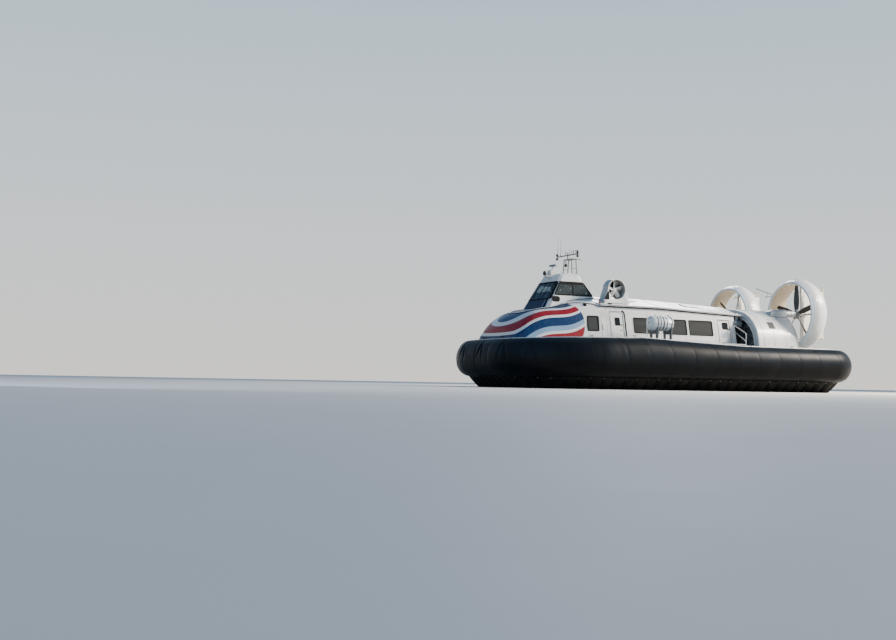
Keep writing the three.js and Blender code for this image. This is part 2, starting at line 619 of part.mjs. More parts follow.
// Rows of double seats on two floor rails: stand, cushion and back of each row
function seatBlock() {
  const { rows, first, pitch, y0, y1, depth, cushion, back } = SEATS;
  const fronts = Array.from({ length: rows }, (_, k) => first + k * pitch);
  const row = (x) => joined([
    box(x + 80, x + 300, y0 + 150, y1 - 50, DECK + 60, cushion - 80),
    box(x, x + depth, y0, y1, cushion - 120, cushion),
    box(x - 90, x + 30, y0, y1, cushion - 80, back)]);
  const rails = [y0 + 250, y1 - 200].map((y) =>
    box(first - 100, fronts.at(-1) + 500, y - 40, y + 40, DECK + GAP, DECK + 90));
  return joined([...rails, ...fronts.map(row)]);
}

function mast() {
  const foot = WHEELHOUSE_CAP.at(-1)[0] + GAP;
  const { foreX, aftX, footY, headY, frameZ, armX, yardZ, yard, leg, bar, whip } = MAST;
  const { lampRadius, lampHeight, lampStep } = MAST;
  const plate = box(aftX - 60, foreX + 60, -footY - 40, footY + 40, foot, foot + 25);
  const sides = [-1, 1];
  const legs = sides.flatMap((side) => [foreX, aftX].map((x) =>
    rod([x, side * footY, foot + 20], [x, side * headY, frameZ], leg)));
  const frame = [
    ...sides.map((side) => rod([aftX - 60, side * headY, frameZ], [foreX + 60, side * headY, frameZ], bar)),
    ...[foreX, aftX].map((x) => rod([x, -headY - 50, frameZ], [x, headY + 50, frameZ], bar)),
    rod([aftX, headY, frameZ], [armX, headY * 0.5, frameZ], bar)];
  const post = rod([foreX, 0, frameZ - 20], [foreX, 0, yardZ + 160], 34);
  const beam = rod([foreX, -yard, yardZ], [foreX, yard, yardZ], bar + 4);
  const lamps = sides.flatMap((side) => [-1, 1].map((up) => {
    const [x, y, z] = [foreX + 40, side * yard, yardZ + up * lampStep];
    return rod([x, y, z - lampHeight / 2], [x, y, z + lampHeight / 2], lampRadius);
  }));
  const whips = WHIPS.map(([share, length]) =>
    rod([foreX, share * yard, yardZ], [foreX, share * yard, yardZ + length], whip, 6));
  const horn = [
    rod([foreX, -headY * 0.5, frameZ - 420], [foreX, -headY * 0.5, frameZ - 240], 90),
    rod([foreX, -headY * 0.5, frameZ - 250], [foreX, -headY * 0.5, frameZ], 30)];
  return joined([plate, ...legs, ...frame, post, beam, ...lamps, ...whips, ...horn]);
}

function addRoofGear() {
  part('mast', mast(), 'white_paint');
  const cap = wheelhouseBody(WHEELHOUSE_CAP, 2 * GAP);
  const body = prism(PEDESTAL, 'y', -PEDESTAL_HALF, PEDESTAL_HALF);
  const underside = 30;
  const stemTop = RADAR.z - underside - GAP;
  const stem = rod([RADAR.x, 0, stemTop - 330], [RADAR.x, 0, stemTop], RADAR.stem, 12);
  const lampPost = rod([LAMP.x, 0, LAMP.shelf - 40], [LAMP.x, 0, LAMP.shelf - GAP], 45, 8);
  part('radar_pedestal', without(joined([body, stem, lampPost]), [cap]), 'white_paint');
  const half = RADAR.length / 2;
  const bar = [[-110, -underside], [-60, 90], [60, 90], [110, -underside]];
  part('radar_scanner', prism(bar, 'y', -half, half), 'white_paint', [RADAR.x, 0, RADAR.z]);
  const { radius } = LAMP;
  const lens = turned([[-100, 0], [-100, 80], [-60, radius - 10], [0, radius], [110, radius], [110, 0]], 16);
  part('searchlight', lens, 'black_metal', [LAMP.x, 0, LAMP.shelf + radius]);
}

// Arched housing with a round tunnel across the craft, the strut and boss that carry the wheel
function thrusterHousing() {
  const { x, z, y0, y1, outer, bore, footFront, footRear } = THRUSTER;
  const foot = CABIN.eaveZ - 200;
  const steps = 14;
  const arc = Array.from({ length: steps + 1 }, (_, k) => {
    const angle = k * Math.PI / steps;
    return [x + outer * Math.cos(angle), z + outer * Math.sin(angle)];
  });
  const shell = prism([...arc, [footRear, foot], [footFront, foot]], 'y', y0, y1);
  const half = y1 - y0;
  const drum = turned([[-half, 0], [-half, bore], [half, bore], [half, 0]], 28);
  const tunnel = moved(drum, new THREE.Matrix4().makeRotationZ(Math.PI / 2).setPosition(x, (y0 + y1) / 2, z));
  const strut = box(x - 45, x + 45, y0 + 40, y0 + 130, z - bore - 20, z + bore + 20);
  const boss = rod([x, y0 + 60, z], [x, THRUSTER_FAN.y - THRUSTER_FAN.depth / 2 - GAP, z], 90, 12);
  return without(joined([shell.subtract(tunnel), strut, boss]), [underRoof()]);
}

// Bladed wheel about the y axis: hub and flat vanes set at an angle
function thrusterFan() {
  const { hub, radius, depth, vanes: count, chord, pitch } = THRUSTER_FAN;
  const centre = turned([[-depth / 2, 0], [-depth / 2, hub], [depth / 2, hub], [depth / 2, 0]], 16);
  const vane = new THREE.BoxGeometry(18, chord, radius - hub * 0.5);
  vane.translate(0, 0, (radius + hub * 0.5) / 2);
  vane.applyMatrix4(new THREE.Matrix4().makeRotationZ(pitch));
  const vanes = Array.from({ length: count }, (_, k) => solid(vane.clone().rotateX(k * 2 * Math.PI / count)));
  return moved(joined([centre, ...vanes]), new THREE.Matrix4().makeRotationZ(Math.PI / 2));
}

// Canister with domed ends, and the saddle frame that it lies in
function addRafts() {
  const { x0, x1, y, z, radius, saddles } = CANISTER;
  const half = (x1 - x0) / 2;
  const dome = [[half, 0], [half - 20, radius * 0.55], [half - 110, radius * 0.88], [half - 240, radius]];
  const profile = [...dome.map(([x, r]) => [-x, r]), [-30, radius], [-30, radius + 18], [30, radius + 18],
    [30, radius], ...dome.slice().reverse()];
  pair('raft_canister', turned(profile, 24), 'canister_shell', [(x0 + x1) / 2, y, z]);
  const lying = radius + 2 * GAP;
  const drum = turned([[-1500, 0], [-1500, lying], [1500, lying], [1500, 0]], 24);
  const bed = shifted(drum, (x0 + x1) / 2, y, z);
  const frame = (x) => {
    const outline = [[y - 330, DECK + 20], [y + 330, DECK + 20], [y + 400, z - 200], [y - 400, z - 200]];
    const hole = [[y - 200, DECK + 120], [y + 200, DECK + 120], [y + 190, z - 580], [y - 190, z - 580]];
    return prism(outline, 'x', x - 35, x + 35).subtract(prism(hole, 'x', x - 60, x + 60));
  };
  const rails = [-330, 330].map((side) =>
    box(saddles[0] - 90, saddles[1] + 90, y + side - 50, y + side + 50, DECK + GAP, DECK + 60));
  pair('raft_cradle', without(joined([...rails, ...saddles.map(frame)]), [bed]), 'black_metal');
}

const casingLoop = (shrink, floor) => halfLoop(CASING.outline.map(([y, z], k) =>
  [y - shrink * (k < 5 ? 1 : 0.6), k ? z - (k > 3 ? shrink : shrink * 0.3) : floor]), CASING.crown - shrink);

// Hollow casing: behind its front lip lie two intakes, one each side of the closed middle bay
function machineryCasing() {
  const { front, rear, centre, crown, lip } = CASING;
  const outer = prism(casingLoop(0, DECK + GAP), 'x', rear, front);
  const room = prism(casingLoop(WALL, DECK - 50), 'x', rear + WALL, front - WALL);
  const mouth = prism(casingLoop(lip, DECK - 50), 'x', front - 2 * WALL, front + 50);
  const bay = box(front - WALL, front, -centre, centre, DECK + GAP, crown - 130);
  return without(outer, [room, mouth]).add(bay);
}

function liftFan() {
  const { radius, depth, blades } = LIFT_FAN;
  const back = turned([[-depth / 2, 0], [-depth / 2, radius], [40 - depth / 2, radius], [40 - depth / 2, 150],
    [depth / 2 - 40, 120], [depth / 2 - 20, 0]], 28);
  const shroud = turned([[depth / 2 - 30, radius], [depth / 2 - 30, radius * 0.72], [depth / 2, radius * 0.72],
    [depth / 2, radius], [depth / 2 - 30, radius]], 28);
  const blade = new THREE.BoxGeometry(depth - 30, 18, radius * 0.3).translate(0, 0, radius * 0.83);
  const vanes = Array.from({ length: blades }, (_, k) =>
    solid(blade.clone().rotateX(k * 2 * Math.PI / blades)));
  return joined([back, shroud, ...vanes]);
}

function engine() {
  const { x, y, z, depth } = LIFT_FAN;
  const block = box(ENGINE.x0, ENGINE.x1, y - ENGINE.halfWidth, y + ENGINE.halfWidth, DECK + GAP, ENGINE.top);
  return block.add(rod([ENGINE.x1 - 50, y, z], [x - depth / 2 - GAP, y, z], ENGINE.shaft, 12));
}

// Ring of the duct: straight bore, round lip in front, outer face bulging between its ends
function ductRing() {
  const { x0, x1, outer, bore, bulge } = DUCT;
  const end = outer - bulge;
  const lip = (end - bore) / 2;
  const front = Array.from({ length: 7 }, (_, k) => {
    const angle = k * Math.PI / 6;
    return [x1 - lip + lip * Math.sin(angle), bore + lip - lip * Math.cos(angle)];
  });
  const back = Array.from({ length: 5 }, (_, k) => {
    const share = (k + 1) / 5;
    return [x1 - lip - share * (x1 - lip - x0), end + bulge * (1 - (2 * share - 1) ** 2) - share * 60];
  });
  return turned([[x0, bore], ...front, ...back, [x0, bore]], 40);
}

// Propeller duct with its pylon, nacelle, struts and rudder carriers
function duct() {
  const { x0, x1, y, z, outer, bore, bulge } = DUCT;
  const propBack = PROP.x - PROP.depth / 2 - GAP;
  const nacelle = turned([[NACELLE.x0, 0], [NACELLE.x0, 90], [NACELLE.x0 + 200, NACELLE.radius],
    [NACELLE.x1, NACELLE.radius], [NACELLE.x1, 80], [propBack, 80], [propBack, 0]], 16);
  const reach = bore + 50;
  const { strut, strutX0, strutX1 } = NACELLE;
  const struts = [
    box(strutX0, strutX1, -strut / 2, strut / 2, -reach, reach),
    box(strutX0, strutX1, -reach, reach, -strut / 2, strut / 2)];
  const arms = [-1, 1].flatMap((up) => {
    const level = up * (RUDDER.half + 15 + RUDDER.beam / 2);
    const [low, high] = [level - RUDDER.beam / 2, level + RUDDER.beam / 2];
    const ties = [-1, 1].map((side) =>
      box(RUDDER.x, x0 + 30, side * RUDDER.tie - 60, side * RUDDER.tie + 60, low, high));
    return [box(RUDDER.x - 70, RUDDER.x + 70, -RUDDER.beamHalf, RUDDER.beamHalf, low, high), ...ties];
  });
  const footZ = DECK + GAP - z;
  const pylon = prism([[x0 + 40, footZ], [x1 - 80, footZ], [x1 - 200, -bore - 60], [x0 + 80, -bore - 60]],
    'y', -(outer - bulge) * 0.4, (outer - bulge) * 0.4);
  const posts = [-1, 1].flatMap((side) => [-1, 1].map((up) => {
    const level = up * (RUDDER.half + GAP);
    const at = [RUDDER.x, side * RUDDER.offset];
    return rod([...at, level], [...at, level + up * 40], 30);
  }));
  const keepClear = turned([[x0 - 500, 0], [x0 - 500, bore], [x1 + 200, bore], [x1 + 200, 0]], 40);
  const pieces = [ductRing(), pylon.subtract(keepClear), nacelle, ...struts, ...arms, ...posts];
  return shifted(joined(pieces), 0, y, z);
}

// Propeller with twisted, tapered blades: radius, chord, pitch and thickness of each blade station
function propeller() {
  const { radius, hub, depth, blades } = PROP;
  const spinner = turned([[-depth / 2, 0], [-depth / 2, hub], [depth * 0.1, hub], [depth * 0.38, hub * 0.72],
    [depth / 2, 0]], 20);
  const stations = [[hub * 0.5, 190, 1.0, 60], [radius * 0.4, 320, 0.72, 46], [radius * 0.75, 290, 0.45, 30],
    [radius, 190, 0.32, 16]];
  const loops = stations.map(([r, chord, pitch, thick]) => {
    const half = thick / 2;
    const flat = [[-chord / 2, 0], [-chord / 6, half], [chord / 2, 4], [chord / 2, -4], [-chord / 6, -half]];
    return flat.map(([u, v]) => [
      -u * Math.sin(pitch) + v * Math.cos(pitch), u * Math.cos(pitch) + v * Math.sin(pitch), r]);
  });
  const blade = geometryOf(loft(loops));
  const all = Array.from({ length: blades }, (_, k) =>
    solid(blade.clone().rotateX(k * 2 * Math.PI / blades)));
  return joined([spinner, ...all]);
}

function rudder() {
  const { chord, thick, half } = RUDDER;
  const nose = Array.from({ length: 7 }, (_, k) => {
    const angle = Math.PI / 2 - k * Math.PI / 6;
    return [thick / 2 * Math.cos(angle) + 20, thick / 2 * Math.sin(angle)];
  });
  return prism([...nose, [110 - chord, -8], [110 - chord, 8]], 'z', -half, half);
}

// The propeller with its first blade turned outboard from upright
function propellerAtRest(degrees) {
  return moved(propeller(), new THREE.Matrix4().makeRotationX(-THREE.MathUtils.degToRad(degrees)));
}

function addPropulsion() {
  pair('duct', duct(), 'white_paint');
  part('propeller_port', propellerAtRest(PROP_REST.port), 'black_metal', [PROP.x, DUCT.y, DUCT.z]);
  part('propeller_starboard', mirrored(propellerAtRest(-PROP_REST.starboard)), 'black_metal',
    [PROP.x, -DUCT.y, DUCT.z]);
  for (const [place, step] of [['inner', -1], ['outer', 1]]) {
    pair(`rudder_${place}`, rudder(), 'white_paint', [RUDDER.x, DUCT.y + step * RUDDER.offset, DUCT.z]);
  }
  const cover = prism(FAIRING, 'y', DUCT.y - FAIRING_HALF, DUCT.y + FAIRING_HALF);
  const tubeEnd = PROP.x + PROP.depth / 2 + 12;
  const tube = rod([CASING.rear + 100, DUCT.y, DUCT.z], [tubeEnd, DUCT.y, DUCT.z], 200, 20);
  const keepOut = prism(casingLoop(-2 * GAP, DECK), 'x', CASING.rear - GAP, CASING.front);
  pair('shaft_fairing', without(joined([cover, tube]), [keepOut]), 'grey_metal');
}

// Sloping rail from the cabin corner to the outer post, its stay, and the low rail forward along the deck
function handrail() {
  const { x, y, foreX, innerY, topIn, topOut, low, radius } = RAIL;
  const foot = DECK + GAP;
  return joined([
    rod([x, innerY, topIn], [x, y, topOut], radius),
    rod([x, y, topOut + 20], [x, y, foot], radius),
    rod([x, y, low], [foreX, y, low], radius),
    rod([foreX, y, low + 15], [foreX, y, foot], radius),
    rod([x, innerY, topIn + 15], [x, innerY, topIn - 350], radius),
    rod([x, innerY, topIn - 330], [x, y, topOut - 450], radius - 5)]);
}

const stations = edgeStations();
part('hull_raft', hullRaft(stations), 'deck_paint');
part('gunwale', gunwale(stations), 'white_paint');
part('skirt_bag', skirtBag(stations), 'skirt_rubber');
part('skirt_fingers', skirtFingers(), 'finger_rubber');
pair('cabin_side', cabinSide(), 'white_paint');
pair('cabin_glass', cabinGlass(), 'dark_glass');
part('cabin_rear_wall', cabinRear(), 'white_paint');
addDoors();
addNoseAndWheelhouse();
addWheelhouseInside();
pair('passenger_seats', seatBlock(), 'seat_fabric');
addRoofGear();
pair('thruster_housing', thrusterHousing(), 'white_paint');
pair('thruster_fan', thrusterFan(), 'grey_metal', [THRUSTER.x, THRUSTER_FAN.y, THRUSTER.z]);
addRafts();
part('machinery_casing', machineryCasing(), 'white_paint');
pair('lift_fan', liftFan(), 'grey_metal', [LIFT_FAN.x, LIFT_FAN.y, LIFT_FAN.z]);
pair('engine', engine(), 'engine_cast');
addPropulsion();
pair('handrail', handrail(), 'white_paint');

export default root;
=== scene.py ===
# Looks of a twin-propeller passenger hovercraft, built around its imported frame.
# Lengths are in metres: +X to the bow, +Y to port, +Z up, skirt hem on the floor at z = 0.
import math
import bmesh
import bpy
from mathutils import Matrix, Vector


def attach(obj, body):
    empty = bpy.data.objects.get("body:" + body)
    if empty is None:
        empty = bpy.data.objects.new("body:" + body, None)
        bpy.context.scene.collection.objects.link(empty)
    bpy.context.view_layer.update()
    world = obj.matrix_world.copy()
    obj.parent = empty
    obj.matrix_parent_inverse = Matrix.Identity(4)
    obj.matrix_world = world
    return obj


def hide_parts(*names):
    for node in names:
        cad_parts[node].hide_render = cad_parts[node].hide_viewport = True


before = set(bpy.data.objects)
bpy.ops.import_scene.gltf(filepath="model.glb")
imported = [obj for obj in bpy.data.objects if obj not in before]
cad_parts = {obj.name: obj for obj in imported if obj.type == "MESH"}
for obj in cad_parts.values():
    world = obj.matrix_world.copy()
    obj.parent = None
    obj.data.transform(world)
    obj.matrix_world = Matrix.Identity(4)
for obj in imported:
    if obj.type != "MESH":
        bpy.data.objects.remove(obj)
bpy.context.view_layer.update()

# Sizes that the frame's solids share
DECK = 2.4
EDGE = {"length": 10.2, "beam": 5.4, "bow": 4.0, "stern": 1.2}
SHEER = ((-11.5, 2.5), (-2.7, 2.53), (0, 2.63), (4.1, 2.8), (7.6, 2.71), (11.5, 2.61))
TRIM = 0.06
BAG = ((0.36, 2.62), (0.7, 2.4), (0.91, 2.04), (0.995, 1.6), (0.93, 1.18), (0.72, 0.85), (0.43, 0.66),
       (0.15, 0.6))
CHINE_Z = 1.7
SEAMS = 40
# Where the deep creases of the bag start, along the deck edge round the bow
CREASES = (19.1, 21.0, 23.15, 25.2, 26.7)
FINGER = {"top": 0.6, "top_out": 0.23, "top_in": -0.43, "hem_out": -0.33, "hem_in": -0.64, "crease": 0.075,
          "count": 84}
CABIN = {"half": 3.046, "knee": 0.9, "fall": 0.038, "eave": 4.64}
LEAN = math.tan(math.radians(11.6))
ROOF = ((2.75, 4.6403), (2.75, 4.72), (1.5, 5.04), (0.75, 5.25), (0, 5.33))
# Windows and doors: x from and to, z from and to
WINDOWS = tuple((x0, x1, 3.2, 4.02) for x0, x1 in ((-2.72, -1.09), (-0.88, 0.75), (1.08, 2.71)))
DOORS = {
    "front_door": {"frame": (3.41, 4.29, 2.5, 4.33), "pane": (3.66, 3.94, 3.58, 3.98),
                   "panel": (3.55, 4.15, 2.68, 3.2), "handle": (3.53, 3.6), "tint": "white"},
    # The aft door's pale blue plate is painted shade: that door lies in the shadow of the machinery casing.
    "aft_door": {"frame": (-4.0, -3.15, 2.5, 4.13), "pane": (-3.84, -3.48, 3.62, 3.98),
                 "panel": (-3.84, -3.34, 3.1, 3.45), "handle": (-3.91, 3.6), "tint": "blue"}}
NOSE_WINDOW = (5.09, 5.76, 3.23, 4.0)
# Nose: x, half width at the deck, shoulder y and z, upper side y and z, crown z
NOSE = (
    (4.9003, 3.046, 2.61, 4.62, 1.5, 5.03, 5.32), (6.2, 3.04, 2.6, 4.4, 1.65, 4.82, 5.0),
    (7.2, 3.03, 2.56, 4.16, 1.75, 4.51, 4.53), (8.0, 3.0, 2.5, 3.96, 1.8, 4.35, 4.36),
    (8.6, 2.94, 2.45, 3.76, 1.85, 4.17, 4.24), (9.1, 2.84, 2.38, 3.5, 1.85, 3.87, 4.04),
    (9.5, 2.72, 2.34, 3.22, 1.7, 3.56, 3.75), (9.8, 2.56, 2.23, 2.93, 1.55, 3.2, 3.37),
    (9.91, 2.37, 2.06, 2.76, 1.4, 2.93, 3.04), (9.99, 1.95, 1.65, 2.56, 1.0, 2.64, 2.7))
# Wheelhouse: z, front x, rear x, half width, cut of the corners
WHEELHOUSE = ((4.05, 7.93, 3.4, 1.5, 0.2), (6.01, 6.77, 4.99, 1.13, 0.16))
HELM_FLOOR = 4.05
SCREEN = {"z": (5.0, 5.95), "y": (1.21, 1.05), "taper": 0.168}
SCUTTLE_HALF = 1.28
SCUTTLE_END = ((0.0, 8.75), (0.5, 8.72), (0.9, 8.56), (1.1, 8.36), (1.2, 8.14), (1.28, 7.75))
SIDE_PANE = ((6.95, 5.25), (6.57, 5.95), (5.06, 5.95), (4.54, 5.25))
REAR_PANE = ((-0.76, 0.76), (5.35, 5.9))
# Trim rail over the nose on the port side, as (x, y)
TRIM_RAIL = ((4.9, 2.62), (5.6, 2.2), (6.3, 1.83), (7.0, 1.6), (7.6, 1.44), (8.15, 1.34), (8.45, 1.18),
             (8.66, 0.92), (8.82, 0.5), (8.85, 0.0))
SEATS = {"rows": 8, "first": -3.7, "pitch": 0.9, "y": (0.75, 2.4), "depth": 0.48, "cushion": 2.88,
         "back": 3.52}
MAST = {"fore": 5.4, "aft": 5.1, "foot": 0.49, "head": 0.4, "frame": 7.4, "arm": 4.56, "yard_z": 7.63,
        "yard": 1.13, "leg": 0.03, "bar": 0.026, "lamp": 0.07, "lamp_height": 0.17, "lamp_step": 0.11}
# Whips: place along the yard and length; stubs: y and height
WHIPS = ((-1.02, 1.2), (-0.72, 1.03), (0.2, 0.42))
STUBS = ((-0.25, 0.2), (0.45, 0.17), (0.62, 0.24), (0.86, 0.2))
CAP_TOP = 6.55
RADAR = {"x": 6.37, "z": 6.96, "half": 0.3}
LAMP = {"x": 6.85, "z": 6.52, "radius": 0.13}
THRUSTER = {"x": 3.59, "z": 5.61, "y": (1.8, 2.4), "outer": 0.61, "bore": 0.545, "foot": (2.69, 4.65)}
CANISTER = {"x": (1.18, 2.715), "y": 4.2, "z": 3.7, "radius": 0.425, "saddles": (1.42, 2.33)}
CASING = ((4.25, 2.4), (4.22, 2.74), (4.13, 3.25), (3.93, 3.72), (3.56, 4.18), (3.0, 4.56), (2.33, 4.78),
          (1.5, 4.88), (0, 5.03))
CASING_X = (-7.9, -4.95)
CASING_WALL = 0.08
CASING_LIP = 0.38
# Louvre on the casing's side: share of the way up from and to, x of its fore and aft ends
LOUVRE = (0.37, 0.47, -5.96, -6.41)
LIFT_FAN = {"x": -5.45, "y": 2.85, "z": 3.3, "radius": 0.7, "depth": 0.34, "blades": 12}
DUCT = {"x": (-9.52, -8.32), "y": 2.915, "z": 4.68, "outer": 2.15, "bore": 1.82, "bulge": 0.19}
PROP = {"x": -8.9, "radius": 1.77, "hub": 0.26, "depth": 0.4, "blades": 5}
RUDDER = {"x": -9.84, "lead": 0.08, "trail": 0.65, "thick": 0.12, "half": 1.4, "offset": 0.56}
RAIL = {"x": -4.2, "y": 4.0, "fore": -2.6, "inner": 2.9, "top_in": 3.85, "top_out": 3.35, "low": 2.7,
        "radius": 0.023}
CAMERA = {"distance": 70.652, "azimuth": 55.238, "height": 0.3, "heading": 64.776, "pitch": 2.964,
          "roll": 1.048, "lens": 47.277}
SIDES = (("port", 1), ("starboard", -1))


# Numbers
def clamp(value):
    return min(max(value, 0.0), 1.0)


def even(lo, hi, count):
    """Evenly spaced values from lo to hi."""
    return [lo + (hi - lo) * k / (count - 1) for k in range(count)]


def circle(steps):
    """Evenly spaced angles of a whole turn."""
    return [2 * math.pi * k / steps for k in range(steps)]


def blend(low, high, t):
    return tuple(a + (b - a) * t for a, b in zip(low, high))


def along(table, x):
    """Value at x on a line of (x, value) points."""
    for (x0, v0), (x1, v1) in zip(table, table[1:]):
        if x <= x1:
            return v0 + (v1 - v0) * max(0.0, (x - x0) / (x1 - x0))
    return table[-1][1]


def height_at(outline, y):
    """Height of an outline of (y, z) points, given from its port edge inwards."""
    return along([(-a, z) for a, z in outline], -y)


def spline(points, steps):
    """Points on a smooth curve through the given ones, of any dimension."""
    last = len(points) - 1
    curve = []
    for k in range(last):
        p0, p1, p2, p3 = (points[min(max(k + j, 0), last)] for j in (-1, 0, 1, 2))
        for i in range(steps):
            t = i / steps
            curve.append(tuple(
                0.5 * (2 * b + (c - a) * t + (2 * a - 5 * b + 4 * c - d) * t * t
                       + (3 * b - a - 3 * c + d) * t ** 3)
                for a, b, c, d in zip(p0, p1, p2, p3)))
    return curve + [tuple(points[-1])]


# Shape helpers: every shape is a bmesh
def shaped(points, faces):
    """A shape from points and faces, its faces turned outwards."""
    shape = bmesh.new()
    verts = [shape.verts.new(p) for p in points]
    for face in faces:
        shape.faces.new([verts[k] for k in face])
    bmesh.ops.remove_doubles(shape, verts=shape.verts, dist=1e-5)
    bmesh.ops.dissolve_degenerate(shape, edges=shape.edges, dist=1e-6)
    bmesh.ops.recalc_face_normals(shape, faces=shape.faces)
    return shape


def skin(loops, around=True, closed=False, caps=True):
    """Quads through loops that have the same number of points."""
    size, rows = len(loops[0]), len(loops)
    faces = []
    for row in range(rows if closed else rows - 1):
        above = (row + 1) % rows
        for k in range(size if around else size - 1):
            j = (k + 1) % size
            faces.append((row * size + k, row * size + j, above * size + j, above * size + k))
    if caps and around and not closed:
        faces += [tuple(range(size)), tuple((rows - 1) * size + k for k in range(size))]
    return shaped([p for loop in loops for p in loop], faces)


def on_axis(axis, w, u, v):
    """The point at w along an axis and (u, v) across it."""
    return {"x": (w, u, v), "y": (u, w, v), "z": (u, v, w)}[axis]


def lathe(profile, steps=64, axis="x", centre=(0, 0, 0), closed=False):
    """Turned shape from a profile of (along, radius)."""
    loops = []
    for angle in circle(steps):
        loop = [on_axis(axis, w, r * math.cos(angle), r * math.sin(angle)) for w, r in profile]
        loops.append([tuple(a + b for a, b in zip(p, centre)) for p in loop])
    return skin(loops, around=closed, closed=True)


def turned(profile, steps=64, axis="x", centre=(0, 0, 0)):
    """Turned solid with flat ends, from a profile of (along, radius)."""
    return lathe([(profile[0][0], 0), *profile, (profile[-1][0], 0)], steps, axis, centre)


def hoop(ends, radii, steps, axis="x", centre=(0, 0, 0)):
    """Turned ring with a rectangular section."""
    (w0, w1), (r0, r1) = ends, radii
    return lathe(((w0, r0), (w0, r1), (w1, r1), (w1, r0)), steps, axis, centre, closed=True)


def prism(outline, axis, lo, hi, bevel=0.0):
    """An outline drawn out along an axis, its sharp edges rounded by the bevel."""
    shape = skin([[on_axis(axis, w, u, v) for u, v in outline] for w in (lo, hi)])
    return rounded_edges(shape, bevel) if bevel else shape


def rounded_edges(shape, bevel):
    sharp = [e for e in shape.edges if len(e.link_faces) == 2 and e.calc_face_angle(0) > 0.5]
    bmesh.ops.bevel(shape, geom=sharp, offset=bevel, segments=3, profile=0.5, affect="EDGES")
    return shape


def pillow(lo, hi, swell=0.35):
    """A padded block: faces crowned, edges and corners drawn in."""
    shape = bmesh.new()
    bmesh.ops.create_cube(shape, size=2.0)
    bmesh.ops.subdivide_edges(shape, edges=shape.edges, cuts=5, use_grid_fill=True)
    for vert in shape.verts:
        x, y, z = vert.co
        rounds = [math.sqrt(1 - b * b / 2 - c * c / 2 + b * b * c * c / 3)
                  for b, c in ((y, z), (z, x), (x, y))]
        share = [c * (1 - swell + swell * r) for c, r in zip((x, y, z), rounds)]
        vert.co = [(a + b) / 2 + (b - a) / 2 * s for a, b, s in zip(lo, hi, share)]
    return shape


def piping(lo, hi, z, inset=0.012, radius=0.005):
    """Sewn piping round a padded block at a height."""
    line = round_rect(lo[0] + inset, hi[0] - inset, lo[1] + inset, hi[1] - inset, 0.05, 3)
    return pipe([(x, y, z) for x, y in line], radius, 5, closed=True)


def rect(u0, u1, v0, v1):
    return [(u0, v0), (u1, v0), (u1, v1), (u0, v1)]


def grown(box, by):
    u0, u1, v0, v1 = box
    return u0 - by, u1 + by, v0 - by, v1 + by


def block(lo, hi, bevel=0.008):
    return prism(rect(lo[1], hi[1], lo[2], hi[2]), "x", lo[0], hi[0], bevel)


def slab(place, half, z0, z1, bevel=0.008):
    """A block about (x, y), with its half length and half width."""
    (x, y), (dx, dy) = place, half
    return block((x - dx, y - dy, z0), (x + dx, y + dy, z1), bevel)


def round_rect(u0, u1, v0, v1, radius, steps=6):
    """A rectangle with round corners, anticlockwise."""
    corners = ((u1 - radius, v0 + radius, -90), (u1 - radius, v1 - radius, 0),
               (u0 + radius, v1 - radius, 90), (u0 + radius, v0 + radius, 180))
    points = []
    for cu, cv, start in corners:
        for turn in even(start, start + 90, steps + 1):
            angle = math.radians(turn)
            points.append((cu + radius * math.cos(angle), cv + radius * math.sin(angle)))
    return points


def pipe(points, radius, sides=10, closed=False):
    """A tube along a line of points, with flat ends unless it is closed."""
    points = [Vector(p) for p in points]
    count = len(points)
    loops = []
    across = None
    for k, point in enumerate(points):
        before = points[k - 1] if closed or k else point
        after = points[(k + 1) % count] if closed or k + 1 < count else point
        heading = (after - before).normalized()
        if across is None:
            across = heading.orthogonal().normalized()
        across = (across - heading * across.dot(heading)).normalized()
        other = heading.cross(across)
        loops.append([point + radius * (across * math.cos(a) + other * math.sin(a)) for a in circle(sides)])
    return skin(loops, closed=closed)


def placed(shape, matrix):
    bmesh.ops.transform(shape, matrix=matrix, verts=shape.verts)
    return shape


def shifted(shape, x, y, z):
    return placed(shape, Matrix.Translation((x, y, z)))


def turned_about(shape, count, axis="X"):
    """Copies of a shape at even steps round an axis."""
    return [placed(shape.copy(), Matrix.Rotation(angle, 4, axis)) for angle in circle(count)]


def mirrored(shape):
    """The same shape on the starboard side."""
    copy = shape.copy()
    bmesh.ops.transform(copy, matrix=Matrix.Diagonal((1, -1, 1, 1)), verts=copy.verts)
    bmesh.ops.reverse_faces(copy, faces=copy.faces)
    return copy


def both(*shapes):
    """Shapes of the port side and their mirror images."""
    return [*shapes, *(mirrored(shape) for shape in shapes)]


def merged(shapes):
    whole = bmesh.new()
    for shape in shapes:
        mesh = bpy.data.meshes.new("part")
        shape.to_mesh(mesh)
        whole.from_mesh(mesh)
        bpy.data.meshes.remove(mesh)
    return whole


def modified(shape, *modifiers):
    """The shape after modifiers of (type, settings); a cutter may be given as a shape."""
    temporary = []

    def stand_in(body):
        mesh = bpy.data.meshes.new("stand_in")
        body.to_mesh(mesh)
        obj = bpy.data.objects.new("stand_in", mesh)
        bpy.context.scene.collection.objects.link(obj)
        temporary.append(obj)
        return obj

    obj = stand_in(shape)
    for kind, settings in modifiers:
        modifier = obj.modifiers.new(kind, kind)
        for key, value in settings.items():
            setattr(modifier, key, stand_in(value) if isinstance(value, bmesh.types.BMesh) else value)
    result = bmesh.new()
    result.from_object(obj, bpy.context.evaluated_depsgraph_get())
    for item in temporary:
        mesh = item.data
        bpy.data.objects.remove(item)
        bpy.data.meshes.remove(mesh)
    return result


def thickened(shape, thickness):
    return modified(shape, ("SOLIDIFY", {"thickness": thickness, "offset": -1.0}))


def cut(shape, *cutters):
    return modified(shape, *[("BOOLEAN", {"operation": "DIFFERENCE", "object": c}) for c in cutters])


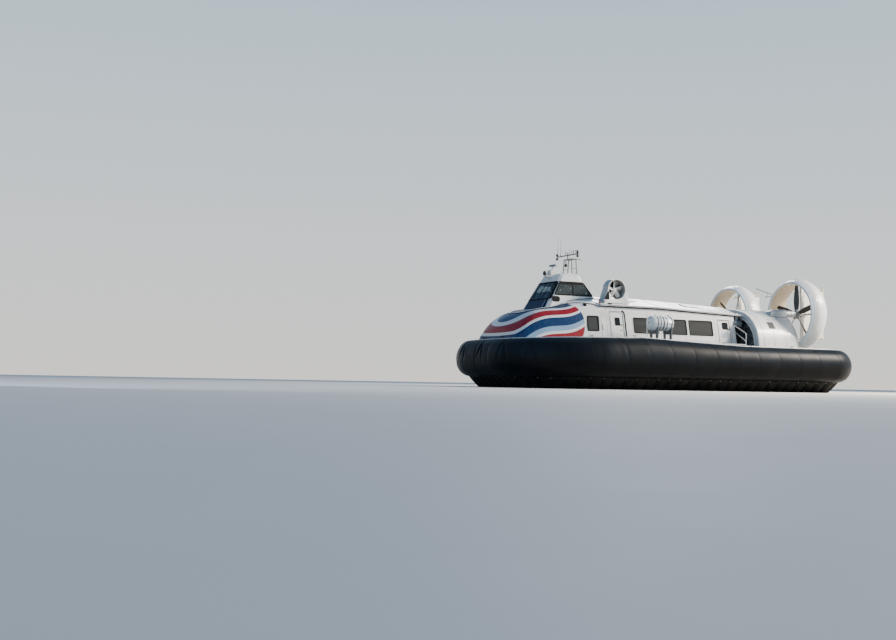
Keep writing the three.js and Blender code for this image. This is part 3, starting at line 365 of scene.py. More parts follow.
def piece(name, parts, body="hull", replaces=(), angle=35):
    """One object from (shapes, look) pairs, riding on a body and standing for CAD nodes."""
    mesh = bpy.data.meshes.new(name)
    whole = bmesh.new()
    for index, (shapes, look) in enumerate(parts):
        start = len(whole.faces)
        part = bpy.data.meshes.new("part")
        merged(shapes).to_mesh(part)
        whole.from_mesh(part)
        bpy.data.meshes.remove(part)
        whole.faces.ensure_lookup_table()
        for face in whole.faces[start:]:
            face.material_index = index
            face.smooth = True
        mesh.materials.append(LOOKS[look])
    whole.to_mesh(mesh)
    mesh.set_sharp_from_angle(angle=math.radians(angle))
    obj = bpy.data.objects.new(name, mesh)
    bpy.context.scene.collection.objects.link(obj)
    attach(obj, body)
    if replaces:
        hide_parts(*replaces)
    return obj


def pair(name, parts, body="hull", replaces=(), angle=35):
    """A piece and its mirror image from shapes of the port one; {} in a name stands for the side."""
    whole = [(merged(shapes), look) for shapes, look in parts]
    made = []
    for title, side in SIDES:
        halves = [([shape if side > 0 else mirrored(shape)], look) for shape, look in whole]
        nodes = [item.format(title) for item in replaces]
        made.append(piece(name.format(title), halves, body.format(title), nodes, angle))
    return made


def bevelled(name, width, look="white"):
    """A CAD node with softened edges and a finish."""
    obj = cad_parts[name]
    weld = obj.modifiers.new("weld", "WELD")
    weld.merge_threshold = 1e-5
    bevel = obj.modifiers.new("soft_edges", "BEVEL")
    bevel.width = width
    bevel.segments = 3
    bevel.limit_method = "ANGLE"
    bevel.angle_limit = math.radians(30)
    finished(name, look)


def finished(name, look):
    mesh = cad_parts[name].data
    mesh.materials.clear()
    mesh.materials.append(LOOKS[look])


def lined(name, centre):
    """Gives the faces of a CAD node that look towards a point the colour of the lining."""
    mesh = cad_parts[name].data
    mesh.materials.append(LOOKS["lining"])
    for face in mesh.polygons:
        if face.normal.dot(Vector(centre) - face.center) > 0:
            face.material_index = len(mesh.materials) - 1


# Material helpers
def node(tree, kind, settings=(), **inputs):
    """A shader node with its settings, its inputs given by name (i_0 for the first) as values or sockets."""
    item = tree.nodes.new("ShaderNode" + kind)
    for key, value in dict(settings).items():
        setattr(item, key, value)
    for key, value in inputs.items():
        socket = item.inputs[int(key[2:])] if key.startswith("i_") else item.inputs[key.replace("_", " ")]
        if isinstance(value, bpy.types.NodeSocket):
            tree.links.new(value, socket)
        else:
            socket.default_value = value
    return item


def maths(tree, operation, a, b=0.0, clamped=False):
    return node(tree, "Math", {"operation": operation, "use_clamp": clamped}, i_0=a, i_1=b).outputs[0]


def blended(tree, factor, a, b, mode="MIX"):
    """Colour a where the factor is 0 and b where it is 1."""
    return node(tree, "Mix", {"data_type": "RGBA", "blend_type": mode}, i_0=factor, i_6=a, i_7=b).outputs[2]


def ramp(tree, factor, stops, mode="LINEAR"):
    item = node(tree, "ValToRGB", i_0=factor)
    item.color_ramp.interpolation = mode
    elements = item.color_ramp.elements
    while len(elements) < len(stops):
        elements.new(1.0)
    for element, (place, colour) in zip(elements, stops):
        element.position = place
        element.color = rgba(colour)
    return item.outputs[0]


def fade(tree, factor, low, high):
    """Black up to one value of the factor and white from another."""
    return ramp(tree, factor, ((low, (0, 0, 0)), (high, (1, 1, 1))))


def noise(tree, scale, stretch=(1, 1, 1), detail=4.0):
    """Noise in the object's own metres, stretched along its axes."""
    place = node(tree, "TexCoord").outputs["Object"]
    moved = node(tree, "Mapping", Vector=place, Scale=stretch).outputs[0]
    return node(tree, "TexNoise", Vector=moved, Scale=scale, Detail=detail).outputs["Fac"]


def axes(tree, kind):
    """The x, y and z sockets of a texture coordinate."""
    return node(tree, "SeparateXYZ", i_0=node(tree, "TexCoord").outputs[kind]).outputs


def rgba(colour):
    return (*colour, 1.0)


def new_shader(name):
    """A new material, its node tree and its shader."""
    result = bpy.data.materials.new(name)
    result.use_nodes = True
    return result, result.node_tree, result.node_tree.nodes["Principled BSDF"]


def uneven_gloss(tree, shader, marks, spread, base):
    """Roughness that wanders by the spread above a base value."""
    uneven = maths(tree, "MULTIPLY_ADD", marks, spread)
    uneven.node.inputs[2].default_value = base
    tree.links.new(uneven, shader.inputs["Roughness"])


def set_inputs(shader, values):
    for key, value in values.items():
        shader.inputs[key].default_value = value


STREAK = (0.42, 0.4, 0.37)
RED = (0.27, 0.016, 0.026)
NAVY = (0.01, 0.04, 0.115)
PALE_BLUE = (0.24, 0.38, 0.56)
WHITE = (0.7, 0.71, 0.7)


def material(name, colour, rough, metal=0.0, coat=0.0, mottle=0.12, mottle_scale=0.8, streaks=0.0, dust=None,
             grain=0.15, grain_scale=45.0, grain_depth=0.0006, spread=0.12, paint=None, specular=0.5,
             sheen=0.0):
    """A painted, moulded or cast finish: colour variation, rain streaks, dust, grain and uneven gloss."""
    result, tree, shader = new_shader(name)
    base = paint(tree) if paint else rgba(colour)
    patches = fade(tree, noise(tree, mottle_scale), 0.35, 0.7)
    darker = blended(tree, 1.0, base, rgba([1 - mottle] * 3), "MULTIPLY")
    shade = blended(tree, patches, base, darker)
    if streaks:
        runs = fade(tree, noise(tree, 1.0, (5.5, 5.5, 0.45), 6.0), 0.5, 0.75)
        shade = blended(tree, maths(tree, "MULTIPLY", runs, streaks), shade, rgba(STREAK))
    if dust:
        dust_colour, amount, scale = dust
        cloud = fade(tree, noise(tree, scale, (1, 1, 1.6), 6.0), 0.42, 0.72)
        shade = blended(tree, maths(tree, "MULTIPLY", cloud, amount), shade, rgba(dust_colour))
    tree.links.new(shade, shader.inputs["Base Color"])
    uneven_gloss(tree, shader, noise(tree, mottle_scale * 3.1, (1, 1, 1), 5.0), spread, rough - spread * 0.5)
    bump = node(tree, "Bump", Strength=grain, Distance=grain_depth, Height=noise(tree, grain_scale))
    tree.links.new(bump.outputs[0], shader.inputs["Normal"])
    set_inputs(shader, {"Metallic": metal, "Coat Weight": coat, "Specular IOR Level": specular,
                        "Sheen Weight": sheen})
    return result


def livery_bands(tree):
    """White paint with broad pale blue, red and navy waves that rise aft from the bow."""
    x, _, z = axes(tree, "Object")
    bow = maths(tree, "SUBTRACT", 9.9, x)
    swell = maths(tree, "SINE", maths(tree, "MULTIPLY", bow, 1.35))
    line = maths(tree, "ADD", maths(tree, "MULTIPLY", swell, 0.26), maths(tree, "MULTIPLY", bow, 0.42))
    height = maths(tree, "SUBTRACT", z, line)
    share = maths(tree, "DIVIDE", maths(tree, "SUBTRACT", height, 0.4), 4.4, clamped=True)
    bands = ramp(tree, share, (
        (0.0, PALE_BLUE), (0.1, NAVY), (0.22, WHITE), (0.26, RED), (0.36, WHITE), (0.395, PALE_BLUE),
        (0.46, NAVY), (0.565, WHITE), (0.595, RED), (0.66, WHITE), (0.68, NAVY), (0.74, WHITE), (0.9, RED)),
        "CONSTANT")
    above = maths(tree, "SUBTRACT", z, 3.55)
    limit = maths(tree, "ADD", 5.95, maths(tree, "MULTIPLY", maths(tree, "MULTIPLY", above, above), 0.42))
    return blended(tree, maths(tree, "GREATER_THAN", x, limit), rgba(WHITE), bands)


def bag_shade(tree):
    """Black fabric with a blue-grey upper half, which is painted sheen of the sky on the top of the bag."""
    wander = maths(tree, "ADD", axes(tree, "Object")[2], maths(tree, "MULTIPLY", noise(tree, 1.3), 0.22))
    share = maths(tree, "DIVIDE", maths(tree, "SUBTRACT", wander, 1.45), 0.6, clamped=True)
    return ramp(tree, share, ((0.0, (0.0035, 0.0045, 0.006)), (0.5, (0.008, 0.011, 0.015)),
                              (1.0, (0.011, 0.0155, 0.021))))


def glass(name, colour, rough=0.04, through=0.85, index=1.45, wiping=0.08, coat=0.0):
    """Tinted glass with faint wiping marks in its gloss."""
    result, tree, shader = new_shader(name)
    shaded = rgba([c * 0.6 for c in colour])
    tint = blended(tree, noise(tree, 1.2, (0.5, 1, 7.0)), rgba(colour), shaded)
    tree.links.new(tint, shader.inputs["Base Color"])
    uneven_gloss(tree, shader, noise(tree, 2.0, (0.6, 1, 9.0), 6.0), wiping, rough)
    set_inputs(shader, {"Transmission Weight": through, "IOR": index, "Coat Weight": coat})
    return result


LOOKS = {
    "white": material("white_hull_paint", WHITE, 0.36, coat=0.25, mottle=0.07, streaks=0.22),
    "livery": material("livery_paint", WHITE, 0.34, mottle=0.05, streaks=0.06, paint=livery_bands,
                       specular=0.15),
    # Pale blue paint, also used as painted shade on the casing's flange and the aft door's plate.
    "blue": material("pale_blue_paint", (0.41, 0.47, 0.52), 0.34, coat=0.1, mottle=0.1, streaks=0.15),
    # Blue-grey paint, also used as painted shade on forward-facing bands and hoods.
    "hood": material("blue_grey_paint", (0.35, 0.4, 0.44), 0.36, coat=0.1, mottle=0.12, streaks=0.18),
    "panel": material("navy_gloss_panel", (0.003, 0.012, 0.055), 0.3, mottle=0.2, mottle_scale=1.6,
                      specular=0.12),
    "deck": material("non_slip_deck_paint", (0.2, 0.23, 0.25), 0.78, mottle=0.25, mottle_scale=1.4, grain=0.6,
                     grain_scale=160.0, grain_depth=0.0015, dust=((0.4, 0.38, 0.34), 0.35, 0.9)),
    # The skirt's lighter upper half comes from its paint: painted sheen.
    "rubber": material("skirt_rubber_fabric", (0.004, 0.0052, 0.0075), 0.4, mottle=0.35, mottle_scale=0.6,
                       dust=((0.011, 0.0105, 0.0095), 0.3, 0.7), grain=0.4, grain_scale=28.0,
                       grain_depth=0.004, spread=0.16, paint=bag_shade, specular=0.07),
    "seam": material("skirt_seam_rubber", (0.006, 0.007, 0.008), 0.55, mottle=0.3, grain=0.4, specular=0.12),
    "finger": material("finger_rubber_fabric", (0.005, 0.0055, 0.006), 0.62, mottle=0.35, mottle_scale=1.8,
                       dust=((0.018, 0.016, 0.014), 0.5, 1.4), grain=0.5, grain_scale=34.0, grain_depth=0.004,
                       specular=0.12),
    "gasket": material("black_window_rubber", (0.007, 0.007, 0.008), 0.65, mottle=0.2, grain=0.3,
                       specular=0.1),
    "guard": material("black_guard_paint", (0.008, 0.008, 0.009), 0.6, mottle=0.2, specular=0.12),
    "tunnel": material("grey_tunnel_paint", (0.26, 0.27, 0.26), 0.55, mottle=0.2, mottle_scale=2.0,
                       streaks=0.2),
    "black": material("satin_black_paint", (0.014, 0.014, 0.016), 0.42, mottle=0.25, mottle_scale=3.0),
    "grey": material("grey_cast_metal", (0.2, 0.225, 0.24), 0.45, metal=0.3, mottle=0.2, mottle_scale=2.5),
    "steel": material("brushed_steel", (0.5, 0.52, 0.54), 0.3, metal=1.0, mottle=0.15, mottle_scale=5.0),
    "cream": material("cream_duct_lining", (0.68, 0.56, 0.4), 0.45, mottle=0.14, mottle_scale=1.2,
                      streaks=0.25),
    "rudder": material("cream_rudder_paint", (0.74, 0.71, 0.63), 0.42, mottle=0.1, streaks=0.2),
    "blade": material("propeller_blade", (0.03, 0.031, 0.033), 0.36, mottle=0.3, mottle_scale=3.0),
    "canister": material("canister_moulding", (0.62, 0.69, 0.74), 0.3, coat=0.4, mottle=0.08,
                         mottle_scale=2.0, streaks=0.12),
    "cloth": material("blue_seat_cloth", (0.03, 0.055, 0.13), 0.85, mottle=0.3, mottle_scale=6.0, grain=0.7,
                      grain_scale=320.0, grain_depth=0.001, sheen=0.35),
    "engine": material("engine_enamel", (0.1, 0.12, 0.13), 0.5, metal=0.2, mottle=0.3, mottle_scale=4.0),
    # Dark paint for joints, seals and grips, also used as painted shade in the louvre and vent openings.
    "dark": material("dark_recess_paint", (0.02, 0.022, 0.025), 0.6, mottle=0.3, mottle_scale=2.0),
    "mast": material("mast_paint", (0.15, 0.13, 0.12), 0.55, mottle=0.25, mottle_scale=3.0, streaks=0.3),
    "lining": material("cabin_lining", (0.045, 0.047, 0.05), 0.75, mottle=0.15, grain=0.3, grain_scale=90.0),
    "glass": glass("tinted_cabin_glass", (0.085, 0.082, 0.072), 0.08, 0.3),
    "clear": glass("wheelhouse_glass", (0.55, 0.62, 0.62), 0.02, 0.92, 1.3, 0.02),
    "screen": glass("windscreen_glass", (0.4, 0.5, 0.56), 0.02, 0.92, 1.22, 0.02),
    "pane": material("dark_door_glass", (0.012, 0.013, 0.014), 0.12, mottle=0.2, mottle_scale=4.0, grain=0.02,
                     specular=0.3),
    "lens": glass("clear_lamp_glass", (0.8, 0.83, 0.85), 0.08, 0.3, coat=0.6),
    "red_lens": glass("red_lamp_glass", (0.6, 0.02, 0.02), 0.08, 0.3, coat=0.6),
    "green_lens": glass("green_lamp_glass", (0.02, 0.45, 0.12), 0.08, 0.3, coat=0.6),
}


# Deck edge: lines and quarter arcs, anticlockwise from the starboard quarter
def edge_pieces():
    a, b, big, small = EDGE.values()

    def line(x0, y0, x1, y1):
        length = math.hypot(x1 - x0, y1 - y0)
        nx, ny = (y1 - y0) / length, (x0 - x1) / length
        return length, lambda t: (*blend((x0, y0), (x1, y1), t), nx, ny)

    def arc(cx, cy, radius, quarter):
        def at(t):
            angle = (quarter + t) * math.pi / 2
            nx, ny = math.cos(angle), math.sin(angle)
            return cx + radius * nx, cy + radius * ny, nx, ny
        return radius * math.pi / 2, at

    return (line(small - a, -b, a - big, -b), arc(a - big, big - b, big, -1),
            line(a, big - b, a, b - big), arc(a - big, b - big, big, 0),
            line(a - big, b, small - a, b), arc(small - a, b - small, small, 1),
            line(-a, b - small, -a, small - b), arc(small - a, small - b, small, 2))


EDGE_PIECES = edge_pieces()
EDGE_LENGTH = sum(length for length, _ in EDGE_PIECES)
SEAM_STEP = EDGE_LENGTH / SEAMS


def edge_at(distance):
    """x, y and the outward direction at a distance along the deck edge."""
    rest = distance % EDGE_LENGTH
    for length, at in EDGE_PIECES:
        if rest < length:
            return at(rest / length)
        rest -= length
    return EDGE_PIECES[0][1](0.0)


def edge_point(distance, out, z):
    x, y, nx, ny = edge_at(distance)
    return x + nx * out, y + ny * out, z


def edge_steps(count):
    return [EDGE_LENGTH * k / count for k in range(count)]


def edge_ring(count, section):
    """A closed ring whose section(distance, number) gives (out, z) points."""
    return skin([[edge_point(distance, out, z) for out, z in section(distance, k)]
                 for k, distance in enumerate(edge_steps(count))], closed=True)


def sheer(distance):
    return along(SHEER, edge_at(distance)[0])


# Inflated bag, with folds where the fabric gathers round the bow
def bag_line(distance):
    """Outer line of the bag from its crown to the finger line, as (out, z) points."""
    top = sheer(distance) - TRIM
    base = along(SHEER, 0.0)
    lift = (top + TRIM - base) / (base - CHINE_Z)
    outer = [(0.0, top)] + [(out, z + lift * max(0.0, z - CHINE_Z)) for out, z in BAG]
    return spline(outer, 4)


def seam_bow(z):
    """How far a seam runs aside at a height."""
    return 0.22 * (1 - (z - 1.6) ** 2)


def hump(z, low, span):
    """A rise from 0 at a height to 1 in the middle of a span above it, and back to 0 at its top."""
    return math.sin(math.pi * clamp((z - low) / span))


def bell(offset, width):
    return math.exp(-(offset / width) ** 2)


def bag_creases(distance, z):
    """Depth of the creases that spread downwards from the clamping strip at the bow."""
    depth = 0.0
    for middle in CREASES:
        for arm in (-0.22, 0.36):
            aside = distance - middle - arm * (2.62 - z)
            depth += bell(aside, 0.075) - 0.25 * bell(aside - math.copysign(0.17, arm), 0.09)
    return depth * hump(z, 1.5, 1.15)


def bag_fold(distance, z):
    """How far the folds and the pull of the seams move the fabric in or out."""
    bow = clamp((edge_at(distance)[0] - 4.5) / 4.0)
    gather = distance - seam_bow(z)
    near = (gather / SEAM_STEP) % 1.0 - 0.5
    pleat = 0.3 * bell(near - 0.15, 0.08) - bell(near, 0.065)
    ripple = 0.08 * math.sin(gather * 15.3) * (0.6 + 0.4 * math.sin(distance * 1.9 + 0.6)) - 0.04
    sag = 0.5 * math.sin(distance * 3.1 + 1.3 * z) + 0.5 * math.sin(distance * 5.3 - 0.8 * z)
    folds = bow * (0.055 * hump(z, 1.15, 1.5) * (0.35 * pleat + ripple) - 0.06 * bag_creases(distance, z))
    return folds + hump(z, 0.6, 1.95) * (0.004 * sag - 0.006 * bell(near, 0.07) - 0.004)


def on_bag(distance, out, z):
    """Point on the folded fabric, a millimetre proud of it."""
    return edge_point(distance, out + bag_fold(distance, z) + 0.001, z)


def bag_section(distance, _):
    outer = [(out + bag_fold(distance, z), z) for out, z in bag_line(distance)]
    return outer + [(FINGER["top_in"], FINGER["top"]), (-0.9, 1.2494), (0.0003, CHINE_Z - 0.0003)]


def bag_seams():
    """Bowed seams down the bag at even steps, and two that run all the way round."""
    seams = []
    for k in range(SEAMS):
        start = SEAM_STEP * (k + 0.5)
        points = [on_bag(start + seam_bow(z), out, z) for out, z in bag_line(start)[2:-1]]
        seams.append(pipe(points, 0.011, 6))
    for row in (9, 24):
        points = [on_bag(distance, *bag_line(distance)[row]) for distance in edge_steps(360)]
        seams.append(pipe(points, 0.01, 6, closed=True))
    return seams


def clamp_section(distance, _):
    top = sheer(distance)
    return [(0.004, top - 0.058), (0.05, top - 0.05), (0.05, top - 0.035), (0.004, top - 0.04)]


def clamp_bolts():
    """Bolts along the clamping strip of the bag."""
    bolts = []
    for distance in edge_steps(180):
        low = sheer(distance) - 0.04
        bolts.append(turned(((low, 0.012), (low + 0.012, 0.009)), 6, "z", edge_point(distance, 0.03, 0.0)))
    return bolts


def finger_section(count):
    """Section of the finger row: rounded outwards in the middle of each finger, notched between them."""
    per = count // FINGER["count"]
    top = FINGER["top"] - 0.0005

    def section(distance, k):
        round_out = math.sin(math.pi * (k % per) / per) ** 0.6
        points = []
        for t in even(0, 1, 7):
            out = FINGER["top_out"] + (FINGER["hem_out"] - FINGER["top_out"]) * t
            belly = 0.03 * math.sin(math.pi * t)
            back = (FINGER["crease"] + 0.11 * t) * (1 - round_out)
            points.append((out - back + belly * round_out, top * (1 - t)))
        return points + [(FINGER["hem_in"], 0.0), (FINGER["top_in"], top)]
    return section


def finger_links():
    """Shackles that hold each finger's corners to the bag."""
    notch = FINGER["top_out"] - FINGER["crease"]
    return [pipe([edge_point(distance, notch - 0.02, 0.575), edge_point(distance, notch + 0.03, 0.57)],
                 0.012, 6)
            for distance in edge_steps(FINGER["count"])]


def add_skirt():
    piece("skirt_bag_fabric", [([edge_ring(1440, bag_section)], "rubber"), (bag_seams(), "seam")],
          replaces=["skirt_bag"], angle=60)
    piece("skirt_clamp_strip", [([edge_ring(288, clamp_section)], "gasket"), (clamp_bolts(), "steel")])
    count = FINGER["count"] * 12
    piece("skirt_finger_row", [([edge_ring(count, finger_section(count))], "finger"),
                               (finger_links(), "steel")],
          replaces=["skirt_fingers"], angle=40)


# Deck edge rail, bow fittings and cleats
def rail_section(distance, _):
    top = sheer(distance) + 0.05
    return [(0, DECK + 0.001), (0, top - 0.018), (-0.006, top - 0.005), (-0.018, top), (-0.102, top),
            (-0.114, top - 0.005), (-0.12, top - 0.018), (-0.12, DECK + 0.001)]


def cleat(x, y, z):
    """Deck cleat with two horns on a foot."""
    foot = slab((x, y), (0.11, 0.035), z, z + 0.015, 0.004)
    stems = [pipe([(x + s, y, z), (x + s, y, z + 0.07)], 0.014, 10) for s in (-0.05, 0.05)]
    horn = pipe([(x + s, y, z + up)
                 for s, up in ((-0.16, 0.085), (-0.1, 0.075), (0.1, 0.075), (0.16, 0.085))],
                0.013, 10)
    return [foot, horn, *stems]


def add_deck_edge():
    fittings = []
    low, top = DECK + 0.1, along(SHEER, 10.14) + 0.17
    profile = ((low, 0.038), (top - 0.03, 0.038), (top - 0.025, 0.05), (top - 0.006, 0.05), (top, 0.04))
    for _, side in SIDES:
        for y in (0.9, 1.16):
            fittings.append(turned(profile, 24, "z", (10.14, side * y, 0)))
        for x, y in ((7.0, 5.18), (4.38, 5.34), (-1.6, 5.34), (-6.4, 5.34)):
            fittings += cleat(x, side * y, along(SHEER, x) + 0.05)
    piece("deck_edge_rail", [([edge_ring(320, rail_section)], "white"), (fittings, "black")],
          replaces=["gunwale"])


# Surfaces: face(u, v, lift) gives the point above (u, v)
def surface_frame(outer, inner, lift, face):
    """A frame lying on a surface."""
    low, high = lift
    return skin([[face(u, v, d) for u, v in line]
                 for line, d in ((outer, low), (outer, high), (inner, high), (inner, low))], closed=True)


def surface_plate(outline, lift, face):
    return skin([[face(u, v, d) for u, v in outline] for d in lift])


def border(box, spans, radii, lift, face):
    """A frame round a box, between two distances outside it, with round corners."""
    outer, inner = (round_rect(*grown(box, by), radius) for by, radius in zip(spans, radii))
    return surface_frame(outer, inner, lift, face)


def sheet(grid, face, lift):
    """A thin cover over a grid of (u, v) rows on a surface."""
    low, high = lift
    return skin([[face(u, v, high) for u, v in row] + [face(u, v, low) for u, v in reversed(row)]
                 for row in grid])


def fine(outline, step=0.12):
    """The same outline with points added along its long edges."""
    points = []
    for start, end in zip(outline, list(outline[1:]) + [outline[0]]):
        count = max(1, math.ceil(math.dist(start, end) / step))
        points += [blend(start, end, k / count) for k in range(count)]
    return points


def corner_points(outline):
    """Each corner of an outline with the ones before and after it."""
    count = len(outline)
    return [[Vector(outline[(k + j) % count]) for j in (-1, 0, 1)] for k in range(count)]


def spread(outline, distance):
    """An anticlockwise outline moved outwards by a distance."""
    points = []
    for before, here, after in corner_points(outline):
        u, v = (here - before).normalized(), (after - here).normalized()
        nu, nv = Vector((u.y, -u.x)), Vector((v.y, -v.x))
        points.append(tuple(here + (nu + nv) * distance / (1 + nu.dot(nv))))
    return points


def spread_line(line, distance):
    """An open line moved to its left by a distance, when it is followed from its start."""
    points = []
    for k, (u, v) in enumerate(line):
        (u0, v0), (u1, v1) = line[max(k - 1, 0)], line[min(k + 1, len(line) - 1)]
        length = math.hypot(u1 - u0, v1 - v0)
        points.append((u - (v1 - v0) / length * distance, v + (u1 - u0) / length * distance))
    return points


def softened(outline, radius):
    """An outline with its corners rounded."""
    points = []
    for before, here, after in corner_points(outline):
        start = here + (before - here).normalized() * radius
        end = here + (after - here).normalized() * radius
        points += [tuple(start * (1 - t) ** 2 + here * 2 * t * (1 - t) + end * t * t) for t in even(0, 1, 6)]
    return points


def rim(outline, span, lift, face, radius):
    """A band on a surface along an outline, between two distances outside it."""
    base = fine(softened(outline, radius))
    inner, outer = (spread(base, distance) for distance in span)
    return surface_frame(outer, inner, lift, face)


# Nose shell
def nose_section(row, steps=8):
    """Cross section of the nose through one row of its table, port to starboard."""
    x, half, ys, zs, yu, zu, crown = row
    flank = ((half + ys) / 2 + 0.02, (DECK + zs) / 2)
    side = [(half, DECK + 0.0003), flank, (ys, zs), (yu, zu)]
    points = spline(side + [(0, crown)] + [(-y, z) for y, z in reversed(side)], steps)
    return [(x, y, z) for y, z in points]


def nose_row(x):
    """The nose table's values at x, on the smooth curve through its rows."""
    rows = spline(NOSE, 12)
    for low, high in zip(rows, rows[1:]):
        if x <= high[0]:
            return blend(low, high, (x - low[0]) / (high[0] - low[0]))
    return rows[-1]


def nose_side(x, z):
    """Half width of the nose at x and z."""
    return along([(level, y) for _, y, level in nose_section(nose_row(x))], z)


def nose_top(x, y):
    """Height of the nose at x and y."""
    return height_at([point[1:] for point in nose_section(nose_row(x))], y)


def nose_face(x, z, lift):
    """Point above the nose's port side."""
    return x, nose_side(x, z) + lift, z


def wheelhouse_ring(z, grow=0.0):
    """Outline of the wheelhouse at a height, grown sideways."""
    (z0, *low), (z1, *high) = WHEELHOUSE
    front, rear, half, corner = blend(low, high, (z - z0) / (z1 - z0))
    front, rear, half = front + grow, rear - grow, half + grow
    side = [(front, half - 2 * corner), (front - corner * 0.5, half - corner * 0.7),
            (front - 1.6 * corner, half), (rear + corner, half), (rear, half - corner)]
    return [(x, y, z) for x, y in side + [(x, -y) for x, y in reversed(side)]]


def wheelhouse_core():
    return skin([wheelhouse_ring(z, 0.0003) for z in (3.95, 6.1)])


def add_nose():
    end = nose_section(NOSE[-1])
    shell = merged([skin([nose_section(row) for row in spline(NOSE, 8)], around=False),
                    shaped(end, [tuple(range(len(end)))])])
    bmesh.ops.remove_doubles(shell, verts=shell.verts, dist=1e-4)
    bmesh.ops.recalc_face_normals(shell, faces=shell.faces)
    holes = [prism(rect(*NOSE_WINDOW), "y", side * 1.8, side * 3.4) for _, side in SIDES]
    shell = cut(thickened(shell, 0.05), wheelhouse_core(), *holes)
    piece("nose_skin", [([shell], "livery")], replaces=["nose_shell"], angle=40)
    seal = border(NOSE_WINDOW, (0.045, -0.012), (0.09, 0.07), (-0.03, 0.02), nose_face)
    pair("nose_window_seal_{}", [([seal], "gasket")])
    rail, seam = [], []
    run = spline(TRIM_RAIL, 6)
    for _, side in SIDES:
        rail.append(pipe([(x, side * y, nose_top(x, y) + 0.02) for x, y in run], 0.026, 8))
        # Dark strip just outboard of the rail: painted shadow of the rail.
        seam.append(pipe([(x, side * y, nose_top(x, y) + 0.004) for x, y in spread_line(run, 0.06)],
                         0.024, 8))
    y = nose_side(5.74, 4.6)
    grip = block((5.66, y - 0.1, 4.5), (5.82, y + 0.04, 4.72))
    piece("nose_trim_rail", [(rail, "white"), ([*seam, *both(grip)], "gasket")])


# Cabin sides, doors and roof
def wall_face(x, z, lift):
    """Point above the port cabin wall."""
    return x, CABIN["half"] - (z - DECK) * LEAN + lift, z


def roof_drop(x):
    return max(0.0, CABIN["knee"] - x) * CABIN["fall"]


def wall_plate(outline, lift):
    return surface_plate(outline, lift, wall_face)


def wall_strip(x0, x1, z0, z1, lift=0.008):
    return wall_plate(rect(x0, x1, z0, z1), (-0.004, lift))


def cabin_trim():
    """Seals, panel joints and strips on the port wall, as black parts and white parts; the black strip under
    the eave is painted shadow of the roof's edge.
    """
    black, white = [], []
    for box in WINDOWS:
        black.append(border(box, (0.04, -0.012), (0.09, 0.07), (-0.03, 0.016), wall_face))
        white.append(border(box, (0.075, 0.045), (0.12, 0.1), (-0.004, 0.01), wall_face))
    for door in DOORS.values():
        x0, x1, z0, z1 = door["frame"]
        outer = round_rect(x0 - 0.07, x1 + 0.07, z0 - 0.06, z1 + 0.08, 0.12)
        inner = round_rect(x0 - 0.03, x1 + 0.03, z0 - 0.02, z1 + 0.035, 0.06)
        white.append(surface_frame(outer, inner, (-0.004, 0.009), wall_face))
    seal = spline([(3.28, 2.6), (3.28, 3.9), (3.3, 4.25), (3.36, 4.36), (3.46, 4.4)], 6)
    black.append(pipe([wall_face(x, z, 0.006) for x, z in seal], 0.035, 8))
    for x in (4.86, 4.5, 0.92, -2.9, -4.12):
        black.append(wall_strip(x - 0.005, x + 0.005, 2.62, 4.5 - roof_drop(x), 0.004))
    black.append(wall_strip(4.5, 4.86, 4.385, 4.395, 0.004))
    # Black strip under the eave: painted shadow of the roof's edge.
    black.append(pipe([wall_face(x, 4.6 - roof_drop(x), 0.012) for x in (4.88, 0.9, -4.28)], 0.024, 8))
    white.append(wall_strip(-4.28, 4.86, 2.86, 2.9, 0.02))
    return black, white


def wall_fittings():
    """Louvres and a socket box on the port wall."""
    slats = [wall_strip(4.56, 4.82, z, z + 0.02, 0.014) for z in even(4.02, 4.29, 7)]
    return [*slats, wall_plate(round_rect(4.56, 4.8, 3.3, 3.62, 0.03), (-0.002, 0.03))]


def add_door(title, door):
    """Window, seals, handle and plate of the doors on both sides."""
    seal = border(door["frame"], (-0.012, -0.032), (0.09, 0.08), (-0.004, 0.008), wall_face)
    band = border(door["pane"], (0.03, 0.0), (0.07, 0.05), (-0.004, 0.014), wall_face)
    pane = wall_plate(round_rect(*grown(door["pane"], 0.01), 0.06), (-0.003, 0.006))
    plate = wall_plate(round_rect(*door["panel"], 0.03), (-0.003, 0.01))
    u, v = door["handle"]
    handle = wall_plate(round_rect(u - 0.06, u + 0.06, v - 0.022, v + 0.022, 0.015), (-0.002, 0.03))
    pair(title + "_trim_{}", [([seal, band, handle], "gasket"), ([pane], "pane"), ([plate], door["tint"])],
         title + "_{}")


def add_cabin():
    black, white = cabin_trim()
    pair("cabin_trim_{}", [(black, "gasket"), (white, "white"), (wall_fittings(), "white")])
    for title, door in DOORS.items():
        add_door(title, door)
    for name, _ in SIDES:
        for title in ("cabin_side", *DOORS):
            bevelled(f"{title}_{name}", 0.012)
        finished(f"cabin_glass_{name}", "glass")
        finished(f"nose_window_{name}", "glass")
    bevelled("cabin_rear_wall", 0.01)


ROOF_LINE = spline(ROOF[1:], 12)


def roof_height(x, y):
    """Height of the roof skin at x and y."""
    return height_at(ROOF_LINE, abs(y)) - roof_drop(x)


def roof_face(x, y, lift):
    return x, y, roof_height(x, y) + lift


